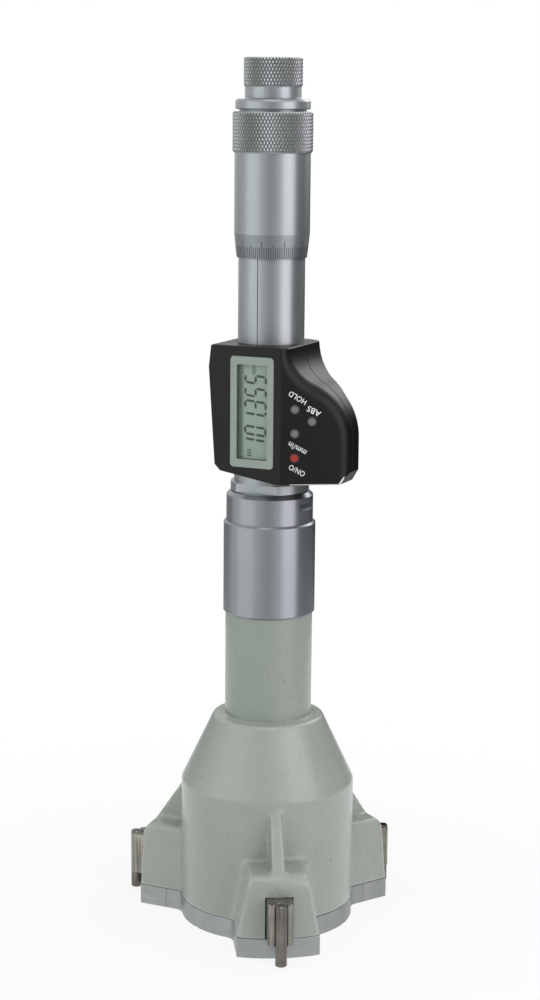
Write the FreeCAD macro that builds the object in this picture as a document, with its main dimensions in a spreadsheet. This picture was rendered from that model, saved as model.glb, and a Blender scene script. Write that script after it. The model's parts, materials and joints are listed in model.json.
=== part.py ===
"""A digital inside micrometer with three anvils, standing on its head.

Millimetres, +Z up. The origin is on the instrument's axis, on the underside of the base plate, and the
display faces -Y. The first anvil points 30 degrees from there towards +X, and the others follow at 120 degrees.
The model stands at a reading of 101.355 mm, measured over the contact pins.
"""
import FreeCAD, Part
import math
import os
import re

import Sketcher

# The driving sizes in millimetres, or in degrees where a name ends in _turn. The rest follows from them.
SIZES = dict(
    # head casting
    plate_thickness=6.4,
    body_wall=4.24,
    body_radius=28.24,
    body_height=40.0,
    cone_rise=22.0,
    shoulder_radius=17.8,
    shoulder_round=1.0,
    body_round=1.2,
    lug_reach=14.2,
    lug_half_low=13.2,
    lug_half_high=9.2,
    lug_height=20.4,
    lug_blend=4.5,
    lug_nose_round=4.0,
    lug_edge_round=1.3,
    rib_rise=20.6,
    rib_setback=2.3,
    rib_thickness=4.4,
    rib_round=1.1,
    neck_blend=1.2,
    # base plate, guide covers and their screws
    cover_seam=2.5,
    cover_gap=0.05,
    recess_depth=4.9,
    recess_clearance=0.5,
    cover_screw_side=8.6,
    cover_screw_setback=5.6,
    plate_screw_inset=2.1,
    screw_radius=1.25,
    screw_head_radius=2.3,
    screw_head_height=1.2,
    screw_grip=6.0,
    screw_sink=0.3,
    socket_radius=0.9,
    socket_depth=0.85,
    # anvils and their drive
    bore_low=100.0,
    anvil_half=4.12,
    anvil_height=13.65,
    anvil_bevel=0.8,
    slide_gap=0.07,
    pin_radius=1.88,
    pin_lift=0.3,
    pin_bevel=0.25,
    feed_down=23.645,
    feed_up=1.355,
    cone_slope=0.5,
    tip_radius=4.5,
    tip_gap=0.5,
    foot_contact=5.0,
    foot_gap=0.05,
    foot_clearance=0.5,
    key_neck_depth=1.1,
    key_head_depth=1.3,
    key_neck_half=0.9,
    key_head_half=1.8,
    key_gap=0.08,
    cone_land=1.0,
    cone_clearance=0.6,
    hub_radius=7.0,
    hub_height=4.0,
    hub_clearance=0.6,
    # neck, push rod and couplings
    neck_seat=3.4,
    neck_radius=14.1,
    neck_length=34.18,
    neck_bore=9.0,
    spigot_radius=12.45,
    tube_inset=1.85,
    bush_length=11.5,
    bush_lift=0.5,
    run_gap=0.05,
    rod_radius=5.0,
    rod_stub_radius=2.5,
    rod_stub_length=8.0,
    rod_collar_room=9.0,
    rod_collar_height=6.0,
    ball_radius=2.0,
    ball_show=1.4,
    spring_wire=0.8,
    spring_radius=7.0,
    spring_pitch=4.2,
    spring_gap=0.3,
    coupling_radius=14.8,
    coupling_length=30.27,
    coupling_bevel=0.6,
    ring_radius=13.95,
    ring_height=9.65,
    ring_bevel=1.2,
    ring_slot_depth=1.1,
    ring_slot_lift=4.2,
    ring_slot_height=2.3,
    flange_seat=5.45,
    # frame tube
    tube_radius=11.5,
    tube_bore=9.3,
    tube_low_bore=7.5,
    tube_step=1.4,
    collar_gap=0.3,
    collar_height=2.8,
    collar_radius=12.6,
    collar_flat=10.4,
    # display case
    case_gap=1.7,
    case_height=43.1,
    case_front=16.5,
    case_back=12.6,
    case_left=14.2,
    case_left_low=12.1,
    case_top_inset=0.8,
    case_shoulder_drop=7.0,
    case_low_rise=3.1,
    case_corner=2.0,
    case_wall=1.6,
    case_round=0.7,
    case_split=2.2,
    crease_side=11.15,
    face_turn=30.0,
    ear_reach=29.4,
    ear_back=3.6,
    ear_back_width=4.8,
    ear_back_turn=29.0,
    ear_bevel=3.7,
    ear_bevel_width=2.2,
    ear_curve_lift=14.0,
    ear_radius=20.0,
    throat_radius=14.0,
    ear_slope_turn=30.0,
    ear_corner=5.0,
    # display
    display_side=0.97,
    display_lift=22.4,
    display_width=15.1,
    display_height=35.3,
    display_corner=1.3,
    display_gap=0.05,
    bezel_thickness=1.4,
    bezel_sink=0.05,
    view_width=10.4,
    view_height=29.9,
    view_corner=0.4,
    window_thickness=0.6,
    window_sink=0.15,
    panel_thickness=1.5,
    panel_margin=1.0,
    board_thickness=1.0,
    board_margin=1.2,
    # buttons and their switches
    button_radius=1.6,
    button_gap=0.09,
    button_rise=0.6,
    button_bevel=0.2,
    button_lip=0.5,
    button_lip_height=0.65,
    button_seat_gap=0.05,
    button_travel=0.4,
    button_step_side=4.35,
    button_far_side=9.75,
    hold_lift=24.1,
    abs_lift=20.3,
    unit_lift=16.5,
    power_lift=8.8,
    switch_gap=0.05,
    switch_radius=0.9,
    switch_body=3.2,
    switch_height=1.2,
    plunger_height=0.3,
    switch_board_thickness=0.8,
    switch_board_margin=2.6,
    # battery, its cover and the case screws
    battery_radius=5.8,
    battery_thickness=5.4,
    battery_gap=1.4,
    battery_front=3.5,
    battery_lift=1.2,
    contact_thickness=0.3,
    contact_rest_width=2.0,
    cover_thickness=0.5,
    cover_start=13.5,
    battery_cover_gap=0.05,
    case_screw_lift=6.5,
    case_screw_radius=0.9,
    case_screw_head=1.9,
    case_screw_head_height=0.7,
    case_screw_gap=0.3,
    case_slot_width=0.5,
    case_slot_depth=0.35,
    # encoder
    rotor_lift=12.7,
    rotor_radius=9.1,
    rotor_thickness=6.0,
    rotor_gap=0.15,
    rotor_key_half=0.6,
    rotor_key_depth=0.7,
    keyway_gap=0.08,
    seat_thickness=3.6,
    stator_thickness=3.6,
    stem_room=0.6,
    # sleeve and screw
    sleeve_radius=10.57,
    sleeve_length=37.6,
    sleeve_core_radius=9.3,
    core_gap=2.6,
    core_bore=6.0,
    nut_length=18.0,
    nut_neck_radius=7.2,
    nut_neck_length=4.0,
    nut_radius=10.3,
    spindle_tip_lift=4.7,
    spindle_stem_radius=4.0,
    spindle_radius=5.0,
    thread_reach=2.0,
    stud_radius=3.0,
    stud_length=5.7,
    # thimble, cap and ratchet
    thimble_stop=3.085,
    thimble_radius=11.96,
    thimble_low_radius=11.11,
    thimble_bore=10.85,
    bevel_height=7.54,
    barrel_length=25.03,
    band_radius=12.65,
    band_height=12.6,
    band_bevel=0.45,
    web_thickness=4.3,
    cap_gap=0.65,
    cap_neck_radius=10.5,
    cap_radius=11.8,
    cap_height=3.19,
    cap_bevel=0.7,
    knob_gap=0.16,
    knob_neck_radius=8.85,
    knob_neck_height=3.55,
    knob_radius=9.23,
    knob_height=9.05,
    knob_bevel=0.45,
    knob_wall=2.0,
    knob_roof=3.9,
    knob_dish=1.9,
    pivot_radius=2.1,
    pivot_gap=0.08,
    pivot_head_radius=3.3,
    pivot_head_height=1.5,
    pivot_slot_width=0.8,
    pivot_slot_depth=0.7,
    pivot_thread_radius=1.25,
    pivot_tip_gap=0.5,
    disc_thickness=1.4,
    disc_gap=0.06,
    disc_bore=3.6,
    friction_wire=0.6,
    friction_pitch=2.0,
    friction_gap=0.4,
)

ANVIL_TURNS = (-60.0, 60.0, 180.0)
PART_COLUMNS = ("A", "B")

doc = FreeCAD.newDocument("InsideMicrometer")
sheet = doc.addObject("Spreadsheet::Sheet", "Sizes")
for row, (alias, size) in enumerate(SIZES.items(), 1):
    sheet.set(f"{PART_COLUMNS[0]}{row}", alias)
    sheet.set(f"{PART_COLUMNS[1]}{row}", str(size))
    sheet.setAlias(f"{PART_COLUMNS[1]}{row}", alias)
doc.recompute()

nodes = []


def bound(text):
    """Turns the size names in an expression into references to the sheet."""
    return re.sub(r"[a-z][a-z_]*", lambda m: f"Sizes.{m[0]}" if m[0] in SIZES else m[0], str(text))


def number(text):
    """The present value of an expression of size names."""
    return float(sheet.evalExpression(bound(text)))


def bind(obj, **properties):
    """Ties properties of an object to expressions of size names."""
    for name, text in properties.items():
        obj.setExpression(name.replace("__", "."), bound(text))


def place(obj, x="0", y="0", z="0"):
    bind(obj, Placement__Base__x=x, Placement__Base__y=y, Placement__Base__z=z)


def node(label, obj):
    """Names a finished piece. Its label names its file."""
    obj.Label = label
    nodes.append(obj)
    return obj


def turned_about(turn, x, y):
    """A point of a plane, turned about the origin by an angle in degrees."""
    return f"(({x})*cos({turn}) - ({y})*sin({turn}))", f"(({x})*sin({turn}) + ({y})*cos({turn}))"


def start_sketch(body, role, offset):
    sketch = body.newObject("Sketcher::SketchObject", "Outline")
    plane = next(f for f in body.Origin.OriginFeatures if f.Role == role)
    sketch.AttachmentSupport = (plane, [""])
    sketch.MapMode = "FlatFace"
    bind(sketch, AttachmentOffset__Base__z=offset)
    return sketch


def arc_between(a, b, radius):
    """The shorter arc from a to b. A positive radius bends left on the way, a negative one right."""
    chord = b - a
    middle = (a + b) * 0.5
    lift = math.sqrt(max(radius * radius - chord.Length * chord.Length / 4, 0.0))
    side = FreeCAD.Vector(-chord.y, chord.x, 0).normalize() * math.copysign(lift, radius)
    centre = middle + side
    circle = Part.Circle(centre, FreeCAD.Vector(0, 0, 1), abs(radius))
    start, end = (a, b) if radius > 0 else (b, a)
    angles = [math.atan2(p.y - centre.y, p.x - centre.x) for p in (start, end)]
    if angles[1] < angles[0]:
        angles[1] += 2 * math.pi
    return Part.ArcOfCircle(circle, *angles)


def draw(sketch, corners):
    """Draws a closed outline. A corner is (x, y), or (x, y, radius) where an arc leads to the next corner."""
    points = [FreeCAD.Vector(number(c[0]), number(c[1]), 0) for c in corners]
    ends = []
    for i, corner in enumerate(corners):
        a, b = points[i], points[(i + 1) % len(points)]
        if len(corner) == 3:
            radius = number(corner[2])
            index = sketch.addGeometry(arc_between(a, b, radius), False)
            c = sketch.addConstraint(Sketcher.Constraint("Radius", index, abs(radius)))
            sketch.setExpression(f"Constraints[{c}]", bound(f"abs({corner[2]})"))
            ends.append((index, 1, 2) if radius > 0 else (index, 2, 1))
        else:
            ends.append((sketch.addGeometry(Part.LineSegment(a, b), False), 1, 2))
    for i, (index, _, head) in enumerate(ends):
        follower, tail, _ = ends[(i + 1) % len(ends)]
        sketch.addConstraint(Sketcher.Constraint("Coincident", index, head, follower, tail))
    for (index, tail, _), corner, point in zip(ends, corners, points):
        for kind, text, at in (("DistanceX", corner[0], point.x), ("DistanceY", corner[1], point.y)):
            c = sketch.addConstraint(Sketcher.Constraint(kind, -1, 1, index, tail, at))
            sketch.setExpression(f"Constraints[{c}]", bound(text))


def turned(name, corners):
    """A body of revolution about Z from an outline of (radius, height) corners."""
    body = doc.addObject("PartDesign::Body", name)
    sketch = start_sketch(body, "XZ_Plane", "0")
    draw(sketch, corners)
    spin = body.newObject("PartDesign::Revolution", "Spin")
    spin.Profile = sketch
    spin.ReferenceAxis = (sketch, ["V_Axis"])
    spin.Angle = 360
    return body


def upright(name, corners, low, high):
    """A prism along Z from an outline in plan."""
    body = doc.addObject("PartDesign::Body", name)
    sketch = start_sketch(body, "XY_Plane", low)
    draw(sketch, corners)
    pad = body.newObject("PartDesign::Pad", "Pad")
    pad.Profile = sketch
    bind(pad, Length=f"({high}) - ({low})")
    return body


def sideways(name, corners, front, back):
    """A prism along Y from an outline of (x, z) corners, between two values of y."""
    body = doc.addObject("PartDesign::Body", name)
    sketch = start_sketch(body, "XZ_Plane", f"-({back})")
    draw(sketch, corners)
    pad = body.newObject("PartDesign::Pad", "Pad")
    pad.Profile = sketch
    bind(pad, Length=f"({back}) - ({front})")
    return body


def oblong(x0, x1, y0, y1):
    """The four corners of a rectangle, in order."""
    return [(x0, y0), (x1, y0), (x1, y1), (x0, y1)]


def box(name, x0, x1, y0, y1, z0, z1, turn=0.0):
    """A box between two values of x, y and z, turned about Z as a whole."""
    solid = doc.addObject("Part::Box", name)
    bind(solid, Length=f"({x1}) - ({x0})", Width=f"({y1}) - ({y0})", Height=f"({z1}) - ({z0})")
    place(solid, *turned_about(turn, x0, y0), z0)
    bind(solid, Placement__Rotation__Angle=turn)
    return solid


def rod(name, radius, low, high, x="0", y="0"):
    """An upright cylinder."""
    solid = doc.addObject("Part::Cylinder", name)
    bind(solid, Radius=radius, Height=f"({high}) - ({low})")
    place(solid, x, y, low)
    return solid


def cross_rod(name, radius, front, back, x, z):
    """A cylinder along Y."""
    solid = doc.addObject("Part::Cylinder", name)
    bind(solid, Radius=radius, Height=f"({back}) - ({front})")
    solid.Placement = FreeCAD.Placement(FreeCAD.Vector(), FreeCAD.Rotation(FreeCAD.Vector(1, 0, 0), 90))
    place(solid, x, back, z)
    return solid


def joined(name, pieces):
    fuse = doc.addObject("Part::MultiFuse", name)
    fuse.Shapes = pieces
    fuse.Refine = True
    return fuse


def without(name, base, *tools):
    """The base with each tool cut away."""
    cut = doc.addObject("Part::Cut", name)
    cut.Base = base
    cut.Tool = tools[0] if len(tools) == 1 else joined(f"{name}Tools", list(tools))
    cut.Refine = True
    return cut


def common(name, one, other):
    shared = doc.addObject("Part::Common", name)
    shared.Base = one
    shared.Tool = other
    return shared


def gathered(name, pieces):
    """Separate solids that are kept as one node."""
    compound = doc.addObject("Part::Compound", name)
    compound.Links = pieces
    return compound


def dressed(kind, name, base, wanted):
    """Rounds or bevels edges of a finished shape. wanted gives (test of an edge, size) pairs."""
    doc.recompute()
    edges = []
    for index, edge in enumerate(base.Shape.Edges, 1):
        for test, size in wanted:
            if test(edge):
                edges.append((index, number(size), number(size)))
                break
    if not edges:
        raise ValueError(f"{name} has no such edge")
    dress = doc.addObject(f"Part::{kind}", name)
    dress.Base = base
    dress.Edges = edges
    return dress


def ring_edge(radius, height):
    """A test for the round edge about Z at a radius and a height."""
    wanted = number(radius), number(height)

    def test(edge):
        curve = edge.Curve
        if not isinstance(curve, Part.Circle) or abs(curve.Axis.z) < 0.999:
            return False
        centred = math.hypot(curve.Center.x, curve.Center.y) < 1e-4
        return centred and abs(curve.Radius - wanted[0]) < 1e-3 and abs(curve.Center.z - wanted[1]) < 1e-3

    return test


def coil(name, radius, wire, pitch, low, high):
    """A round-wire spring about Z."""
    path = doc.addObject("Part::Helix", f"{name}Path")
    bind(path, Pitch=pitch, Height=f"({high}) - ({low}) - 2*({wire})", Radius=radius)
    place(path, z=f"({low}) + ({wire})")
    section = doc.addObject("Part::Circle", f"{name}Section")
    bind(section, Radius=wire)
    section.Placement = FreeCAD.Placement(FreeCAD.Vector(), FreeCAD.Rotation(FreeCAD.Vector(1, 0, 0), 90))
    place(section, x=radius, z=f"({low}) + ({wire})")
    sweep = doc.addObject("Part::Sweep", name)
    sweep.Sections = [section]
    sweep.Spine = (path, [])
    sweep.Solid = True
    sweep.Frenet = True
    return sweep


# Heights along the instrument, from the underside of the plate up to the knob
CAST_Z = "plate_thickness"
CONE_Z = f"({CAST_Z} + body_height)"
SHOULDER_Z = f"({CONE_Z} + cone_rise)"
LUG_TOP_Z = f"({CAST_Z} + lug_height)"
BLOCK_Z = f"({CAST_Z} + slide_gap)"
BLOCK_TOP_Z = f"({BLOCK_Z} + anvil_height)"
TIP_Z = "(plate_thickness - recess_depth + tip_gap + feed_down)"
FOOT_Z = f"({TIP_Z} + feed_up)"
FOOT_TOP_Z = f"({FOOT_Z} + foot_contact)"
CONE_LENGTH = "(feed_up + feed_down + foot_contact)"
BIG_Z = f"({TIP_Z} + {CONE_LENGTH})"
HUB_Z = f"({BIG_Z} + cone_land)"
HUB_TOP_Z = f"({HUB_Z} + hub_height)"
CEILING_Z = f"({HUB_Z} + feed_up + cone_clearance)"
TUBE_FOOT_Z = f"({CEILING_Z} + neck_seat)"
NECK_Z = f"({SHOULDER_Z} + neck_length)"
COUPLING_Z = f"({NECK_Z} + coupling_length)"
TUBE_TOP_Z = f"({COUPLING_Z} - tube_inset)"
RING_Z = f"({COUPLING_Z} + ring_height)"
COLLAR_Z = f"({RING_Z} + collar_gap)"
COLLAR_TOP_Z = f"({COLLAR_Z} + collar_height)"
CASE_Z = f"({COLLAR_TOP_Z} + case_gap)"
CASE_TOP_Z = f"({CASE_Z} + case_height)"
SPINDLE_Z = f"({CASE_Z} + spindle_tip_lift)"
ROD_TOP_Z = f"({SPINDLE_Z} - ball_show)"
SLEEVE_TOP_Z = f"({CASE_TOP_Z} + sleeve_length)"
THIMBLE_Z = f"({CASE_TOP_Z} + feed_down + thimble_stop)"
BEVEL_Z = f"({THIMBLE_Z} + bevel_height)"
BAND_Z = f"({BEVEL_Z} + barrel_length)"
BAND_TOP_Z = f"({BAND_Z} + band_height)"
CAP_Z = f"({BAND_TOP_Z} + cap_gap)"
CAP_TOP_Z = f"({CAP_Z} + cap_height)"
KNOB_Z = f"({CAP_TOP_Z} + knob_gap)"
KNURL_Z = f"({KNOB_Z} + knob_neck_height)"
KNOB_TOP_Z = f"({KNURL_Z} + knob_height)"
ROTOR_Z = f"({CASE_Z} + rotor_lift)"
ROTOR_TOP_Z = f"({ROTOR_Z} + rotor_thickness)"
STATOR_TOP_Z = f"({ROTOR_TOP_Z} + rotor_gap + stator_thickness)"
BATTERY_X = "(ear_reach - case_wall - battery_gap - battery_radius)"

# Radii that follow from others
LUG_FACE = "(body_radius + lug_reach)"
CAVITY = "(body_radius - body_wall)"
SEAM = "(body_radius + cover_seam)"
CONE_BIG = f"(tip_radius + cone_slope*{CONE_LENGTH})"
CONE_ROOM = f"({CONE_BIG} + cone_clearance)"
FOOT_IN = "(tip_radius + cone_slope*feed_up + foot_gap)"
ANVIL_FACE = "(bore_low/2 + cone_slope*feed_up - pin_radius)"


def lobe_corners(half, reach, face_radius=None):
    """One side-to-side lobe of the head in plan, pointing along +X, with its blends into the round body."""
    under = "(body_radius - cover_gap)"
    across = f"(({half}) + lug_blend)"
    centre = f"sqrt(({under} + lug_blend)^2 - {across}^2)"
    share = f"({under}/({under} + lug_blend))"
    root = (f"{centre}*{share}", f"{across}*{share}")
    end = reach if face_radius is None else f"sqrt(({face_radius})^2 - ({half})^2)"
    nose = (end, f"-({half})") if face_radius is None else (end, f"-({half})", face_radius)
    return [
        (root[0], f"-({root[1]})", "-lug_blend"),
        (centre, f"-({half})"),
        nose,
        (end, half),
        (centre, half, "-lug_blend"),
        root,
    ]


def near_to(edge, test):
    """Whether every end of an edge passes a test, which is given the end's point."""
    return all(test(v.Point) for v in edge.Vertexes)


def lug():
    """A drafted lug: the lobe at the plate, drawn in to a narrower one at the top, with a rounded nose."""
    over = f"({LUG_FACE} + lug_nose_round)"
    body = doc.addObject("PartDesign::Body", "Lug")
    low = start_sketch(body, "XY_Plane", CAST_Z)
    draw(low, lobe_corners("lug_half_low", None, over))
    high = start_sketch(body, "XY_Plane", LUG_TOP_Z)
    draw(high, lobe_corners("lug_half_high", None, over))
    loft = body.newObject("PartDesign::AdditiveLoft", "Draft")
    loft.Profile = low
    loft.Sections = [high]
    loft.Ruled = True
    nose = turned(
        "LugNose",
        [
            ("0", f"{CAST_Z} - 1"),
            (LUG_FACE, f"{CAST_Z} - 1"),
            (LUG_FACE, f"{LUG_TOP_Z} - lug_nose_round", "lug_nose_round"),
            (f"{LUG_FACE} - lug_nose_round", LUG_TOP_Z),
            ("0", LUG_TOP_Z),
        ],
    )
    blank = common("LugBlank", body, nose)
    foot, narrow, wide = number(CAST_Z), number("lug_half_high"), number("lug_half_low")

    def flank(edge):
        on_flank = near_to(
            edge, lambda p: narrow - 1e-3 < abs(p.y) < wide + 1e-3 and p.x > number("body_radius"))
        along_foot = near_to(edge, lambda p: abs(p.z - foot) < 1e-3)
        across = edge.Vertexes[0].Point.y * edge.Vertexes[-1].Point.y < 0
        return on_flank and not along_foot and not across

    return dressed("Fillet", "LugRounds", blank, [(flank, "lug_edge_round")])


def rib():
    """The gusset from the body's wall down to the top of a lug, with its free edges rounded."""
    inside = "(body_radius - body_wall/2)"
    foot = f"({LUG_FACE} - rib_setback)"
    under = f"({LUG_TOP_Z} - rib_round)"
    profile = [(inside, under), (foot, under), (foot, LUG_TOP_Z), (inside, f"{LUG_TOP_Z} + rib_rise")]
    blank = sideways("Rib", profile, "-rib_thickness/2", "rib_thickness/2")
    half, low = number("rib_thickness") / 2, number(LUG_TOP_Z)

    def free(edge):
        on_side = near_to(edge, lambda p: p.z > low - 1e-3 and abs(abs(p.y) - half) < 1e-3)
        return on_side and abs(edge.Vertexes[0].Point.x - edge.Vertexes[-1].Point.x) > 1e-3

    return dressed("Fillet", "RibRounds", blank, [(free, "rib_round")])


def spread(name, base):
    """Three copies of a piece of the head, one in each anvil's direction."""
    copies = []
    for turn in ANVIL_TURNS:
        copy = doc.addObject("Part::Compound", name)
        copy.Links = [base]
        bind(copy, Placement__Rotation__Angle=turn)
        copies.append(copy)
    return copies


def screw_places():
    """Where the plate's screws stand: two in each guide cover and three in the round of the plate."""
    out = f"({LUG_FACE} - cover_screw_setback)"
    sides = ("cover_screw_side", "-cover_screw_side")
    places = [turned_about(t, out, side) for t in ANVIL_TURNS for side in sides]
    ring = f"({CAVITY} + plate_screw_inset)"
    return places, [turned_about(t + 60, ring, "0") for t in ANVIL_TURNS]


def screw_holes(places, low, high):
    return [rod("ScrewHole", "screw_radius", low, high, *at) for at in places]


def head_casting():
    outer = turned(
        "HeadOuter",
        [
            ("0", CAST_Z),
            ("body_radius", CAST_Z),
            ("body_radius", CONE_Z),
            ("shoulder_radius", SHOULDER_Z),
            ("neck_radius + neck_blend", SHOULDER_Z, "-neck_blend"),
            ("neck_radius", f"{SHOULDER_Z} + neck_blend"),
            ("0", f"{SHOULDER_Z} + neck_blend"),
        ],
    )
    rounds = [(ring_edge("body_radius", CONE_Z), "body_round")]
    rounds.append((ring_edge("shoulder_radius", SHOULDER_Z), "shoulder_round"))
    outer = dressed("Fillet", "HeadRounds", outer, rounds)
    whole = joined("HeadWhole", [outer, *spread("LugTurned", lug()), *spread("RibTurned", rib())])
    room = turned(
        "HeadRoom",
        [
            ("0", f"{CAST_Z} - 1"),
            (CAVITY, f"{CAST_Z} - 1"),
            (CAVITY, f"{CONE_Z} - 2*body_wall"),
            (CONE_ROOM, CONE_Z),
            (CONE_ROOM, CEILING_Z),
            ("hub_radius + hub_clearance", CEILING_Z),
            ("hub_radius + hub_clearance", TUBE_FOOT_Z),
            ("neck_radius", TUBE_FOOT_Z),
            ("neck_radius", f"{SHOULDER_Z} + 2*neck_blend"),
            ("0", f"{SHOULDER_Z} + 2*neck_blend"),
        ],
    )
    half = "(anvil_half + slide_gap)"
    slots = [
        box("AnvilSlot", f"{CAVITY}/2", f"{LUG_FACE} + 1", f"-{half}", half, f"{CAST_Z} - 1",
            f"{BLOCK_TOP_Z} + slide_gap", t)
        for t in ANVIL_TURNS
    ]
    covers, rounds = screw_places()
    holes = screw_holes(covers + rounds, f"{CAST_Z} - 1", f"{CAST_Z} + screw_grip")
    node("head_casting", without("HeadCasting", whole, room, *slots, *holes))


def base_plate():
    outline = []
    for turn in ANVIL_TURNS:
        lobe = lobe_corners("lug_half_low", SEAM)
        lobe = [(*turned_about(turn, *c[:2]), *c[2:]) for c in lobe]
        lobe[-1] = (*lobe[-1], "body_radius - cover_gap")
        outline += lobe
    plate = upright("PlateBlank", outline, "0", CAST_Z)
    reach = "(tip_radius + cone_slope*(recess_depth - tip_gap) + recess_clearance)"
    recess = rod("TipRecess", reach, f"{CAST_Z} - recess_depth", f"{CAST_Z} + 1")
    _, rounds = screw_places()
    node("base_plate", without("BasePlate", plate, recess, *screw_sinks(rounds)))


def guide_covers():
    covers, _ = screw_places()
    near = f"({SEAM} + cover_gap)"
    end = f"sqrt({LUG_FACE}^2 - lug_half_low^2)"
    corners = oblong(near, end, "-lug_half_low", "lug_half_low")
    corners[1] = (*corners[1], LUG_FACE)
    for number_of, turn in enumerate(ANVIL_TURNS, 1):
        outline = [(*turned_about(turn, *c[:2]), *c[2:]) for c in corners]
        blank = upright("CoverBlank", outline, "0", CAST_Z)
        own = covers[2 * number_of - 2 : 2 * number_of]
        node(f"guide_cover_{number_of}", without("GuideCover", blank, *screw_sinks(own)))


def screw_sinks(places):
    """Through holes with countersinks, as cutting tools."""
    tools = []
    for at in places:
        mouth = rod("SinkMouth", "screw_head_radius", "-1", "screw_sink")
        tool = joined("ScrewSink", [mouth, screw_form("SinkForm")])
        place(tool, *at, "0")
        tools.append(tool)
    return tools


def screw_form(name):
    """A countersunk screw standing on its head: sunk head below, thread above."""
    return turned(
        name,
        [
            ("0", "screw_sink"),
            ("screw_head_radius", "screw_sink"),
            ("screw_radius", "screw_sink + screw_head_height"),
            ("screw_radius", f"{CAST_Z} + screw_grip"),
            ("0", f"{CAST_Z} + screw_grip"),
        ],
    )


def plate_screws():
    covers, rounds = screw_places()
    screws = []
    for at in covers + rounds:
        blank = screw_form("Screw")
        socket = rod("Socket", "socket_radius", "screw_sink - 1", "screw_sink + socket_depth")
        screw = without("SocketScrew", blank, socket)
        place(screw, *at, "0")
        screws.append(screw)
    node("plate_screws", gathered("PlateScrews", screws))


def drive_line(offset, height):
    """A radius on the measuring cone's flank at a height, at rest, moved in by an offset."""
    return f"(tip_radius + cone_slope*(({height}) - {TIP_Z}) - ({offset}))"


def flank_strip(name, inner, outer, half, low, high):
    """A strip between two offsets in from the cone's flank, pointing along +X."""
    corners = [
        (drive_line(inner, low), low),
        (drive_line(outer, low), low),
        (drive_line(outer, high), high),
        (drive_line(inner, high), high),
    ]
    return sideways(name, corners, f"-({half})", half)


def anvil(turn):
    """A sliding block with an upright foot, whose key runs in a groove of the cone."""
    foot_out = f"({CAVITY} - cone_slope*feed_down - foot_clearance)"
    inner = f"({FOOT_IN} + cone_slope*foot_contact)"
    profile = [
        (FOOT_IN, BLOCK_Z),
        (ANVIL_FACE, BLOCK_Z),
        (ANVIL_FACE, BLOCK_TOP_Z),
        (foot_out, BLOCK_TOP_Z),
        (foot_out, FOOT_TOP_Z),
        (inner, FOOT_TOP_Z),
        (FOOT_IN, FOOT_Z),
    ]
    block = sideways("AnvilBlock", profile, "-anvil_half", "anvil_half")
    doc.recompute()
    face, half = number(ANVIL_FACE), number("anvil_half")

    def front_corner(edge):
        ends = [v.Point for v in edge.Vertexes]
        upright_edge = abs(ends[0].z - ends[1].z) > 1
        return upright_edge and all(abs(p.x - face) < 1e-3 and abs(abs(p.y) - half) < 1e-3 for p in ends)

    block = dressed("Chamfer", "AnvilBevels", block, [(front_corner, "anvil_bevel")])
    neck = flank_strip("KeyNeck", "key_neck_depth", "-foot_gap - 0.5", "key_neck_half", FOOT_Z, FOOT_TOP_Z)
    head = flank_strip(
        "KeyHead", "key_neck_depth + key_head_depth", "key_neck_depth", "key_head_half", FOOT_Z, FOOT_TOP_Z
    )
    groove = rod("PinGroove", "pin_radius", "0", f"{BLOCK_TOP_Z} + 1", ANVIL_FACE)
    shaped = without("AnvilShaped", joined("AnvilWhole", [block, neck, head]), groove)
    bind(shaped, Placement__Rotation__Angle=turn)
    return shaped


def contact_pin(turn):
    """The carbide pin that is let half way into the anvil's face."""
    pin = turned(
        "Pin",
        [
            ("0", "pin_lift"),
            ("pin_radius - pin_bevel", "pin_lift"),
            ("pin_radius", "pin_lift + pin_bevel"),
            ("pin_radius", f"{BLOCK_TOP_Z} - pin_bevel"),
            ("pin_radius - pin_bevel", BLOCK_TOP_Z),
            ("0", BLOCK_TOP_Z),
        ],
    )
    place(pin, *turned_about(turn, ANVIL_FACE, "0"))
    return pin


def anvils():
    for count, turn in enumerate(ANVIL_TURNS, 1):
        node(f"anvil_{count}", anvil(turn))
        node(f"contact_pin_{count}", contact_pin(turn))


def measuring_cone():
    blank = turned(
        "ConeBlank",
        [
            ("0", TIP_Z),
            ("tip_radius", TIP_Z),
            (CONE_BIG, BIG_Z),
            (CONE_BIG, HUB_Z),
            ("hub_radius", HUB_Z),
            ("hub_radius", HUB_TOP_Z),
            ("rod_stub_radius", HUB_TOP_Z),
            ("rod_stub_radius", f"{HUB_TOP_Z} - rod_stub_length"),
            ("0", f"{HUB_TOP_Z} - rod_stub_length"),
        ],
    )
    low, high = f"({TIP_Z} - 1)", f"({HUB_Z} + 1)"
    tools = []
    for turn in ANVIL_TURNS:
        neck_half = "(key_neck_half + key_gap)"
        neck = flank_strip("NeckGroove", "key_neck_depth + key_gap", "-2", neck_half, low, high)
        head = flank_strip(
            "HeadGroove",
            "key_neck_depth + key_head_depth + key_gap",
            "key_neck_depth - key_gap",
            "key_head_half + key_gap",
            low,
            high,
        )
        for tool in (neck, head):
            bind(tool, Placement__Rotation__Angle=turn)
            tools.append(tool)
    node("measuring_cone", without("MeasuringCone", blank, *tools))


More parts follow.
